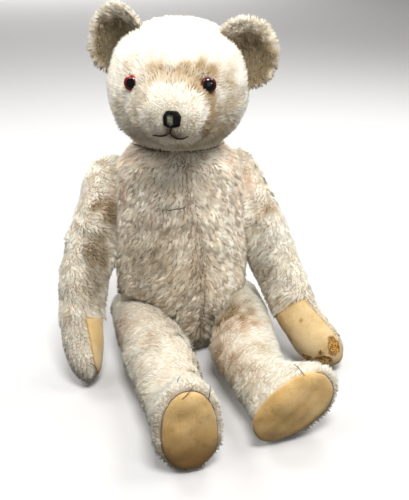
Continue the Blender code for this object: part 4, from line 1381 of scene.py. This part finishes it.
def leg_comb(side):
    sign = SIDES[side]

    def comb(places, ways):
        swirl = wobble(places, 34, 90 + sign) * 0.5
        along = ways_of(0.9 * sign + swirl, -0.08, -0.4)
        point, _, _, into = (np.array(row) for row in SOLES[side])
        apart = places / MM - point
        round_it = unit(apart - (apart @ into)[:, None] * into) + 0.5 * into
        rim = 1 - smooth(apart @ into, 4, 12)[:, None]
        return along * (1 - rim) + round_it * rim

    return comb


# %% [markdown]
# A lock's length, width and steepness are plain numbers for each body, and a wobble makes
# some places more worn than others. Where hands, clothes and brushing have shortened the
# pile, a rule takes off more: round the nose and eyes, along the belly's seam, at the wrists
# and at the edge of the soles. At the pads, soles, nose, mouth and eyes there is no pile.

# %% How long the locks are
# The mouth's three stitches, which the pile leaves free and the thread follows later.
MOUTH = [
    [(-33.8, -112.5, 323), (-35.0, -110.5, 318), (-35.2, -107.6, 315.5)],
    [(-35.2, -107.6, 315.8), (-39.5, -105, 312.2), (-44.5, -102.3, 310.2), (-50.9, -92, 311.0)],
    [(-35.2, -107.6, 315.8), (-30.4, -106, 310.6), (-22.5, -106, 307.6), (-14.8, -107, 310.8)],
]


def sized(length, width, rise, thin=None, steep=None):
    """A size rule: plain numbers, scaled by a wobble of more and less worn places."""

    def size(places, ways):
        worn = 1 + 0.14 * wobble(places, 18, 300)
        if thin:
            worn = worn * thin(places, ways)
        same = np.ones(len(places))
        more = steep(places) if steep else 0.0
        return length * worn, width * same, rise * same + more

    return size


def from_eyes(places):
    """How far each place is from each eye, in millimetres."""
    spots = [np.array(place) for place, _ in EYES.values()]
    return [np.linalg.norm(places / MM - spot, axis=1) for spot in spots]


def face_thin(places, ways):
    """The pile is short round the nose, clipped round the eyes and full on the brow."""
    apart = np.linalg.norm(places / MM - NOSE, axis=1)
    worn = 0.4 + 0.6 * smooth(apart, 20, 42)
    for line in MOUTH:
        worn = worn * (0.45 + 0.55 * smooth(near_line(places / MM, line)[0], 1.5, 6.0))
    for near in from_eyes(places):
        worn = worn * (0.5 + 0.5 * smooth(near, 9, 20))
    return worn


def torso_thin(places, ways):
    return 1 - 0.4 * np.exp(-((seam_side(places) / 3.0) ** 2)) * (ways[:, 1] < 0)


def arm_thin(side):
    """A little longer over the wrist's seam, and shorter on the hand."""

    def thin(places, ways):
        point, facing, wrist, up = (np.array(row) for row in PALMS[side])
        above = (places / MM - wrist) @ up
        fringe = np.exp(-(((above - 4) / 5) ** 2)) * ((places / MM - point) @ facing > -4)
        return 1 + 0.1 * fringe - 0.35 * (above < 0)

    return thin


def leg_thin(side):
    return lambda places, ways: 1 - 0.4 * np.exp(-(((sole_part(side, places)[1] - 3) / 9) ** 2))


def leg_steep(side):
    """At the sole's edge the locks stand out all round like a brush."""
    return lambda places: 34 * (1 - smooth(sole_part(side, places)[1], 3, 13))


# %% Where no pile grows
NECK_LOW, NECK_HIGH = 0.2745, 0.2775  # metres: between them head and body meet, bare


def face_where(places, ways):
    bare = np.ones(len(places))
    for near in from_eyes(places):
        bare = bare * smooth(near, 9.0, 10.2)
    nose = places / MM - NOSE
    side = np.abs(nose[:, 0] * 0.975 - nose[:, 1] * 0.22) / 10.5
    bare = bare * smooth(np.maximum(side, np.abs(nose[:, 2]) / 9.5), 0.9, 1.0)
    for line in MOUTH:
        bare = bare * smooth(near_line(places / MM, line)[0], 0.2, 1.2)
    return bare * (places[:, 2] > NECK_HIGH)


def arm_where(side):
    return lambda places, ways: (palm_part(side, places) < -0.2).astype(float)


def leg_where(side):
    def where(places, ways):
        out, deep = sole_part(side, places)
        return np.where(deep < 5.5, smooth(out, 0.99, 1.04), 1.0)

    return where


def torso_where(is_front):
    def where(places, ways):
        half = (places[:, 1] < 0) == is_front
        return half * (places[:, 2] > 0.001) * (places[:, 2] < NECK_LOW)

    return where


def everywhere(places, ways):
    return np.ones(len(places))


# %% Plant the piles
# Each pile: its body, how many locks, its comb, its size rule, where it grows, how wide its
# tufts are in millimetres and how differently they catch the light.
body_size, back_size = sized(8.0, 1.6, 21, torso_thin), sized(8.5, 2.2, 21, torso_thin)
face_size, ear_size = sized(6.2, 1.6, 34, face_thin), sized(6.5, 1.5, 32)
PLANS = {
    "torso_front": ("torso", 31000, torso_comb, body_size, torso_where(True), 4.8, 0.26),
    "torso_back": ("torso", 19000, torso_comb, back_size, torso_where(False), 4.8, 0.26),
    "head": ("head", 40000, face_comb, face_size, face_where, 3.2, 0.18),
}
for side in SIDES:
    ear, arm, leg = f"ear_{side}", f"arm_{side}", f"leg_{side}"
    arm_size = sized(7.5, 1.6, 20, arm_thin(side))
    leg_size = sized(6.0, 1.8, 24, leg_thin(side), leg_steep(side))
    PLANS[ear] = (ear, 7200, ear_comb(side), ear_size, everywhere, 3.2, 0.22)
    PLANS[arm] = (arm, 21500, arm_comb(side), arm_size, arm_where(side), 4.6, 0.24)
    PLANS[leg] = (leg, 23000, leg_comb(side), leg_size, leg_where(side), 4.2, 0.18)
share = 1.0
for seed, (name, plan) in enumerate(PLANS.items(), 500):
    body, count, comb, size, where, tuft_size, lively = plan
    count = int(count * share)
    plant(f"{name}_pile", body, count, comb, size, seed, where, tuft_size, lively)

# %% [markdown]
# ## Glass eyes
#
# The eyes are old stickpin glass eyes: a black pupil and a red-amber ring under a clear,
# very glossy dome. Real refraction would turn to noise at this size and is lost in an
# export, so the dome is opaque and has a clear coat over it. Each dome is a UV sphere,
# flattened and turned to sit in the face. It is painted by the angle from the way the eye
# looks, which is more to the front than the way the dome faces, as glass makes a pupil seem
# to follow you. The left eye's glass is darker than the right's.


# %% Eyes
def eye_glass(name, ring, inner):
    made, tree, shader, where = new_finish(name)
    rim = attribute(tree, "rim").outputs["Fac"]
    streaks = noise_of(tree, where, 700.0, 2.0)
    uneven = sums(tree, "MULTIPLY_ADD", sums(tree, "SUBTRACT", streaks, 0.5), 0.12)
    tree.links.new(rim, uneven.node.inputs[2])
    iris = blend_of(tree, ramp_of(tree, uneven, 0.46, 0.74), inner, ring)
    colour = blend_of(tree, ramp_of(tree, uneven, 0.38, 0.44), (0.002, 0.002, 0.002), iris)
    colour = blend_of(tree, ramp_of(tree, rim, 0.85, 1.0), colour, (0.05, 0.008, 0.004))
    dress(tree, shader, colour, 0.25, 0.1)
    shader.inputs["Coat Weight"].default_value = 1.0
    shader.inputs["Coat Roughness"].default_value = 0.03
    return made


GLASS = {
    "right": eye_glass("glass_amber_bright", (0.36, 0.02, 0.012), (0.2, 0.01, 0.006)),
    "left": eye_glass("glass_amber_dark", (0.14, 0.014, 0.01), (0.03, 0.005, 0.004)),
}
EYE_RADIUS, EYE_FLAT, EYE_PROUD = 9.2, 0.62, 1.6
for side, (place, way) in EYES.items():
    bpy.ops.object.select_all(action="DESELECT")
    sphere = {"segments": 40, "ring_count": 24, "radius": EYE_RADIUS * MM}
    bpy.ops.mesh.primitive_uv_sphere_add(**sphere, calc_uvs=False)
    eye = bpy.context.object
    eye.name = f"eye_{side}_glass"
    turn = way.to_track_quat("Z", "Y")
    look = turn.inverted() @ (way + Vector((-0.1, -0.97, 0.21))).normalized()
    angles = [v.co.normalized().angle(look) / (math.pi / 2) for v in eye.data.vertices]
    give_points(eye.data, "rim", np.clip(angles, 0, 1))
    eye.scale = (1, 1, EYE_FLAT)
    eye.rotation_mode = "QUATERNION"
    eye.rotation_quaternion = turn
    eye.location = (place + way * EYE_PROUD) * MM
    bpy.ops.object.transform_apply(location=True, rotation=True, scale=True)
    eye.data.materials.append(GLASS[side])
    shade_smooth(eye)
    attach(eye, "head")
    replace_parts(eye, f"eye_{side}")
    print(eye.name, "is", round(2 * EYE_RADIUS, 1), "mm across")

# %% [markdown]
# ## Thread work
#
# All stitches are the same thing: a thin thread laid on the cloth. Each could be a bent
# cylinder, but a curve with a round bevel follows the cloth with fewer points, and is turned
# into a mesh at the end. The nose is upright satin stitches side by side; its middle has
# worn through to the grey cloth. The mouth is a hanging stitch and two arms.


# %% Threads
def threads(name, lines, radius, body, material, steps=4):
    """One mesh of round threads along lines of points in millimetres."""
    curve = bpy.data.curves.new(name, "CURVE")
    curve.dimensions = "3D"
    curve.bevel_depth = radius * MM
    curve.bevel_resolution = 1
    curve.resolution_u = steps
    curve.use_fill_caps = True
    for line in lines:
        spline = curve.splines.new("BEZIER")
        spline.bezier_points.add(len(line) - 1)
        for number, (point, spot) in enumerate(zip(spline.bezier_points, line)):
            point.co = Vector(spot) * MM
            point.handle_left_type = point.handle_right_type = "AUTO"
            point.radius = 0.6 if number in (0, len(line) - 1) else 1.0
    only(new_object(name, curve))
    bpy.ops.object.convert(target="MESH")
    obj = bpy.context.object
    obj.name = name
    obj.data.materials.append(material)
    bpy.ops.object.shade_smooth()
    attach(obj, body)
    return obj


# %% Thread finishes
def make_thread(name, dark, light):
    """Twisted cotton thread, faded in places."""
    made, tree, shader, where = new_finish(name)
    faded = ramp_of(tree, noise_of(tree, where, 260.0, 3.0), 0.45, 0.75)
    dress(tree, shader, blend_of(tree, faded, dark, light), 0.7, 0.2)
    emboss(tree, shader, weave_of(tree, where, 900.0, 3.0, "DIAGONAL"), 0.5, 0.0003)
    return made


black_thread = make_thread("thread_black", (0.006, 0.006, 0.007), (0.03, 0.028, 0.028))
brown_thread = make_thread("thread_brown", (0.09, 0.05, 0.025), (0.2, 0.13, 0.07))


sewn = ("head", "torso", "leg_left", "leg_right", "arm_right")
surfaces = {body: surface_of(skins[body].data) for body in sewn}


def laid_on(body, spot, lift):
    """The nearest place on a body's skin, lifted along its normal. Millimetres."""
    place, way, _, _ = surfaces[body].find_nearest(Vector(spot) * MM)
    return place / MM + way * lift


print("thread finishes:", black_thread.name, brown_thread.name)

# %% The nose's plane
NOSE_SIDE = Vector((0.975, -0.2225, 0.0))
NOSE_UP = Vector((-0.0264, -0.1157, 0.993))
NOSE_OUT = Vector((-0.2209, -0.968, -0.1187))


def nose_spot(u, v, lift):
    """A place on the muzzle, u to the bear's left and v up from the nose's middle."""
    start = Vector(NOSE) + NOSE_SIDE * u + NOSE_UP * v + NOSE_OUT * 30
    place, way, _, _ = surfaces["head"].ray_cast(start * MM, -NOSE_OUT)
    return place / MM + way.lerp(NOSE_OUT, 0.5) * lift


NOSE_HALF = 9.6  # half the nose's width at its top


def nose_reach(u):
    """The top and the bottom of the nose at u: rounded at its upper corners and below."""
    part = u / NOSE_HALF
    return 9.6 - 5.4 * part**4, -9.4 + 1.8 * part**2


print("the nose is", round(nose_reach(0)[0] - nose_reach(0)[1], 1), "mm high in its middle")

# %% Nose and mouth
STITCHES = 19
SQUEEZE = 0.84  # how much narrower the nose is at the bottom
dice = np.random.default_rng(8)
stitches = []
for number in range(STITCHES):
    u = NOSE_HALF * (2 * number / (STITCHES - 1) - 1)
    top, low = nose_reach(u)
    worn = -5.6 < u < 1.6
    pieces = [(top, 5.0 + dice.uniform(-1, 1)), (-5.8 + dice.uniform(-1, 1), low)]
    for high, bottom in pieces if worn else [(top, low)]:
        line = []
        for step in range(6):
            v = high + (bottom - high) * step / 5
            narrow = 1 - (1 - SQUEEZE) * (top - v) / (top - low)
            lean = dice.uniform(-0.25, 0.25)
            edge = 0.5 if step in (0, 5) else 1.5
            line.append(nose_spot(u * narrow + lean, v, edge + dice.uniform(-0.1, 0.3)))
        stitches.append(line)
nose = threads("nose_threads", stitches, 0.72, "head", black_thread)
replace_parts(nose, "nose_stitching")

mouth_lines = [[laid_on("head", spot, 1.9) for spot in line] for line in MOUTH]
mouth = threads("mouth_threads", mouth_lines, 0.95, "head", black_thread, 8)
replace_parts(mouth, "mouth_stitching")
print("nose stitches:", len(stitches))


# %% [markdown]
# Where the satin stitches have worn away, the cloth that they covered shows: flat, grey and
# woven. A hole down to the skin would show pile backing of the wrong colour, so a small
# patch is laid between skin and stitches: a grid, whose points are set on the muzzle.


# %% Worn cloth under the nose
def nose_cloth():
    made, tree, shader, where = new_finish("nose_cloth")
    tone = ramp_of(tree, noise_of(tree, where, 320.0, 4.0), 0.35, 0.7)
    dress(tree, shader, blend_of(tree, tone, (0.16, 0.15, 0.1), (0.5, 0.47, 0.34)), 0.9)
    emboss(tree, shader, weave_of(tree, where, 520.0, 1.5), 0.5, 0.0004)
    return made


ACROSS, DOWN = 12, 10
bpy.ops.object.select_all(action="DESELECT")
grid = {"x_subdivisions": ACROSS, "y_subdivisions": DOWN, "size": 2}
bpy.ops.mesh.primitive_grid_add(**grid, calc_uvs=False)
patch = bpy.context.object
patch.name = "nose_patch"
rows = coordinates(patch.data)
for number, (x, y, _) in enumerate(rows.tolist()):
    row = DOWN * (1 - y) / 2
    u = 9.2 * x
    top, low = nose_reach(u)
    v = top - 0.4 + (low - top + 0.8) * row / DOWN
    at_edge = max(abs(x), abs(y)) > 0.999
    rows[number] = nose_spot(u * (1 - 0.012 * row), v, 0.1 if at_edge else 1.0) * MM
move_to(patch.data, rows)
if vertex_normals(patch.data)[70] @ np.array(NOSE_OUT) < 0:
    patch.data.flip_normals()
thicken(patch, 1.2)
shade_smooth(patch)
patch.data.materials.append(nose_cloth())
print("nose patch:", len(patch.data.polygons), "faces")
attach(patch, "head")

# %% [markdown]
# ## Seams, mends and claws
#
# A thin brown seam runs round each sole. A cord draws the neck together. On the belly an
# old tear was mended with a few dark stitches. The claws are single stitches that have
# mostly worn away. The CAD has those that are left, but straight and under the pile, so each
# is laid again as a thread over it. All of them follow the skins' surface by the nearest
# place on it, which is quicker than shrink-wrapping each piece.


# %% Sole seams and claws
def sole_seam(side):
    """A closed line just outside the sole's edge."""
    into = Vector(SOLES[side][3])
    line = []
    for step in range(73):
        turn = 2 * math.pi * step / 72
        spot = egg_spot(side, 1.01 * math.cos(turn), 1.01 * math.sin(turn))
        line.append(laid_on(f"leg_{side}", spot - into * 4, 0.4))
    return line


for side in SIDES:
    leg, seam = f"leg_{side}", [sole_seam(side)]
    threads(f"foot_{side}_seam", seam, 0.22, leg, brown_thread, 2)

# Each claw that is left: its body and the three points that its thread goes through. The
# second of the right foot is sewn in brown.
CLAWS = {
    "foot_right_claw_1": ("leg_right", [(-53, -270, 103), (-55, -275, 102), (-57, -280, 101)]),
    "foot_right_claw_2": ("leg_right", [(-43, -283, 101), (-49, -287, 96), (-55, -288, 91)]),
    "foot_right_claw_3": ("leg_right", [(-27, -278, 93), (-27, -283, 90), (-28, -288, 86)]),
    "foot_left_claw_1": ("leg_left", [(79, -235, 82), (81, -246, 82), (84, -257, 82)]),
    "paw_right_claw_1": ("arm_right", [(-139, -116, 38), (-136, -112, 30), (-133, -109, 23)]),
}
for name, (body, line) in CLAWS.items():
    thread = brown_thread if name == "foot_right_claw_2" else black_thread
    line = [laid_on(body, spot, 3.2) for spot in line]
    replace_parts(threads(f"{name}_thread", [line], 0.42, body, thread), name)
print("claws laid:", len(CLAWS))

# %% The belly's mend and the neck's cord
mends = []
for x, y, z, lean in (
    (-36, -59.7, 208.4, 0.9),
    (-30.5, -61.5, 207.6, -0.5),
    (-25.2, -63.1, 208.6, 0.6),
    (-19.5, -63.2, 208.8, 0.2),
    (-14.3, -62.9, 210.2, 0.8),
):
    ends = [(x - 3.2, y, z - lean), (x, y, z), (x + 3.2, y, z + lean)]
    mends.append([laid_on("torso", spot, 4.2 if spot[0] == x else 3.0) for spot in ends])
threads("belly_mend", mends, 0.5, "torso", black_thread)

neck_line = []
for step in range(61):
    turn = 2 * math.pi * step / 60
    spot = (-6 + 60 * math.sin(turn), 18 - 60 * math.cos(turn), 271.5)
    neck_line.append(laid_on("torso", spot, 1.6 + 0.5 * math.sin(5 * turn)))
threads("neck_cord", [neck_line], 0.7, "torso", brown_thread, 2)
print("mended with", len(mends), "stitches")

# %% [markdown]
# ## Wood wool
#
# Inside is wood wool: long thin curls of pine, gone orange with age. The CAD stuffing shows
# only through the holes of the left paw. It is drawn in a few millimetres, so that the
# pressed folds stay over it. A texture alone would look painted in the holes, so real curls
# are laid under each of them, half in a dark straw and half in a bright one, which is
# painted lighter than the wood wool to light the shade in the holes.


# %% The stuffing
def make_wood_wool():
    made, tree, shader, where = new_finish("wood_wool")
    stretched = node(tree, "Mapping", {"Vector": where, "Scale": (1.0, 1.0, 0.25)}).outputs[0]
    curl = node(tree, "TexWave", {"Vector": stretched, "Scale": 260.0, "Distortion": 14.0})
    curl.inputs["Detail"].default_value = 3.0
    tone = blend_of(tree, curl.outputs["Fac"], (0.1, 0.03, 0.008), (0.7, 0.36, 0.1))
    patchy = ramp_of(tree, noise_of(tree, where, 240.0), 0.35, 0.7)
    tone = blend_of(tree, sums(tree, "MULTIPLY", patchy, 0.6), tone, (0.74, 0.44, 0.15))
    dress(tree, shader, tone, 0.6)
    emboss(tree, shader, curl.outputs["Fac"], 0.9, 0.001)
    return made


wood_wool = make_wood_wool()
for body in sorted(POCKETS):
    filling = merged_copy(f"{body}_stuffing", f"{body}_wood_wool")
    rows, ways = coordinates(filling.data), vertex_normals(filling.data)
    inward = 3.6 + 0.6 * wobble(rows, 8, 70)
    move_to(filling.data, rows - ways * inward[:, None] * MM)
    filling.data.materials.append(wood_wool)
    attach(filling, body)
    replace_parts(filling, f"{body}_stuffing")

# %% Straw under the holes
CURLS = (130, 50, 50, 8)  # under each hole
SPREAD = 1.35  # how far a curl may go on past its hole, in hole widths
STEP = 1.7  # millimetres
dice = np.random.default_rng(64)
curls = []
for hole, amount in zip(HOLES, CURLS):
    middle, out, long_way, wide_way, half_long, half_wide = hole_frame(hole)
    for _ in range(amount):
        u, v = dice.uniform(-1.2, 1.2, 2) * (half_long, half_wide)
        turn, bend, deep = dice.uniform(0, 6.28), dice.normal() * 0.4, dice.uniform(0.2, 2.6)
        line = []
        for step in range(7):
            spot = Vector(middle + long_way * u + wide_way * v) * MM
            place, way, _, _ = whole_left_arm.find_nearest(spot)
            line.append(place / MM - way * (deep + 0.8 * math.sin(step * 1.7 + turn)))
            u += math.cos(turn) * STEP
            v += math.sin(turn) * STEP
            turn += bend
            if abs(u) > half_long * SPREAD or abs(v) > half_wide * SPREAD:
                break
        if len(line) > 2:
            curls.append(line)
# The bright straw is coloured far lighter than the wood wool: painted light in the holes' shade.
for name, some, dark, light in (
    ("straw_bright", curls[::2], (1.0, 0.62, 0.16), (1.0, 0.84, 0.42)),
    ("straw_dark", curls[1::2], (0.62, 0.28, 0.05), (0.9, 0.52, 0.14)),
):
    threads(name, some, 0.42, "arm_left", make_thread(name, dark, light), 2)
print("straw curls:", len(curls))

# %% [markdown]
# ## Finishes of the hidden parts
#
# The joint discs, washers and pins, and the eyes' wire shanks, stay as the CAD made them.
# They show only when the bear is taken apart. One grey would do for that, but they get their
# real finishes: fibre hardboard and rusting steel. The solids that a piece above stands for
# get that piece's finish.


# %% Hardboard and steel
def make_hardboard():
    made, tree, shader, where = new_finish("hardboard")
    fibre = noise_of(tree, where, 420.0, 6.0, 0.75)
    colour = blend_of(tree, ramp_of(tree, fibre, 0.3, 0.7), (0.1, 0.055, 0.03), (0.3, 0.19, 0.1))
    dress(tree, shader, colour, 0.8)
    emboss(tree, shader, fibre, 0.4, 0.0004)
    return made


def make_steel():
    made, tree, shader, where = new_finish("old_steel")
    rust = ramp_of(tree, noise_of(tree, where, 330.0, 6.0, 0.7), 0.46, 0.66)
    colour = blend_of(tree, rust, (0.42, 0.4, 0.38), (0.2, 0.07, 0.025))
    tree.links.new(colour, shader.inputs["Base Color"])
    tree.links.new(sums(tree, "SUBTRACT", 1.0, rust, clamp=True), shader.inputs["Metallic"])
    tree.links.new(sums(tree, "MULTIPLY_ADD", rust, 0.45), shader.inputs["Roughness"])
    return made


# %% Finish every solid
# A word in the solid's name, and its finish. The last word that fits counts.
steel = make_steel()
FINISHES = {
    "disc": make_hardboard(),
    "washer": steel,
    "claw": black_thread,
    "eye": GLASS["left"],
    "stitching": black_thread,
    "pad": palm_finish,
    "stuffing": wood_wool,
    "pin": steel,
    "shank": steel,
}
for name, solid in frame["nodes"].items():
    finish = PILE[name.split("_")[0]] if name.endswith("cover") else PILE["head"]
    for word, made in FINISHES.items():
        if word in name:
            finish = made
    solid.data.materials.clear()
    solid.data.materials.append(finish)
print("solids finished:", len(frame["nodes"]))

# %% [markdown]
# ## Stage, lights and camera
#
# The bear sits on a plain pale floor under one big soft light from above and in front. Weak
# lights fill its front and sides, and two behind it and one far back edge its outline, so
# that pale pile stands out from a pale floor. A small light makes the spark in each eye. The
# floor is left out of what other surfaces gather: so pale a floor would light the undersides
# of the limbs flat, and the shadows between them would be lost. The display transform is the
# plain one, so that the cream stays cream.


# %% The floor
def aim_at(obj, place, target):
    obj.location = place
    obj.rotation_mode = "QUATERNION"
    obj.rotation_quaternion = (Vector(target) - Vector(place)).to_track_quat("-Z", "Y")


bpy.ops.object.select_all(action="DESELECT")
bpy.ops.mesh.primitive_plane_add(size=40, location=(0, 0, 0))
floor = bpy.context.object
floor.name = "floor"
floor.visible_diffuse = False
floor.visible_glossy = False
made, tree, shader = new_material("pale_floor")
shader.inputs["Base Color"].default_value = (0.66, 0.65, 0.64, 1)
shader.inputs["Roughness"].default_value = 0.9
floor.data.materials.append(made)
print("floor laid, 40 m across")


# %% Lights
def softbox(name, place, size, power, colour=(1, 1, 1)):
    light = bpy.data.lights.new(name, "AREA")
    light.size = size
    light.energy = power
    light.color = colour
    obj = bpy.data.objects.new(name, light)
    scene.collection.objects.link(obj)
    aim_at(obj, place, (0, -0.05, 0.18))


softbox("key", (0.1, -1.05, 2.6), 0.9, 60)
softbox("fill", (0.3, -1.9, 0.8), 1.2, 3)
softbox("catch_light", (0.7, -1.1, 0.72), 0.12, 1.6)
softbox("left_side", (-1.3, -0.2, 2.0), 0.8, 9)
softbox("right_side", (1.3, -0.1, 2.0), 0.8, 14)
softbox("rim_left", (-0.8, 0.9, 1.3), 0.7, 12)
softbox("rim_right", (0.8, 0.9, 1.3), 0.7, 12)
softbox("back", (0, 4.2, 0.9), 2.4, 44)
world = bpy.data.worlds.new("studio")
scene.world = world
world.use_nodes = True
sky = world.node_tree.nodes["Background"]
sky.inputs["Color"].default_value = (1.0, 0.98, 0.95, 1)
sky.inputs["Strength"].default_value = 0.16
scene.view_settings.view_transform = "Standard"
print("lights:", len(bpy.data.lights))

# %% Camera
lens = bpy.data.cameras.new("camera")
lens.lens = 59.04
camera = bpy.data.objects.new("camera", lens)
scene.collection.objects.link(camera)
aim_at(camera, (-0.1649, -0.9737, 0.5641), (0.0181, -0.0321, 0.137))
scene.camera = camera
print("camera", round(camera.location.length, 2), "m away,", round(lens.lens), "mm lens")
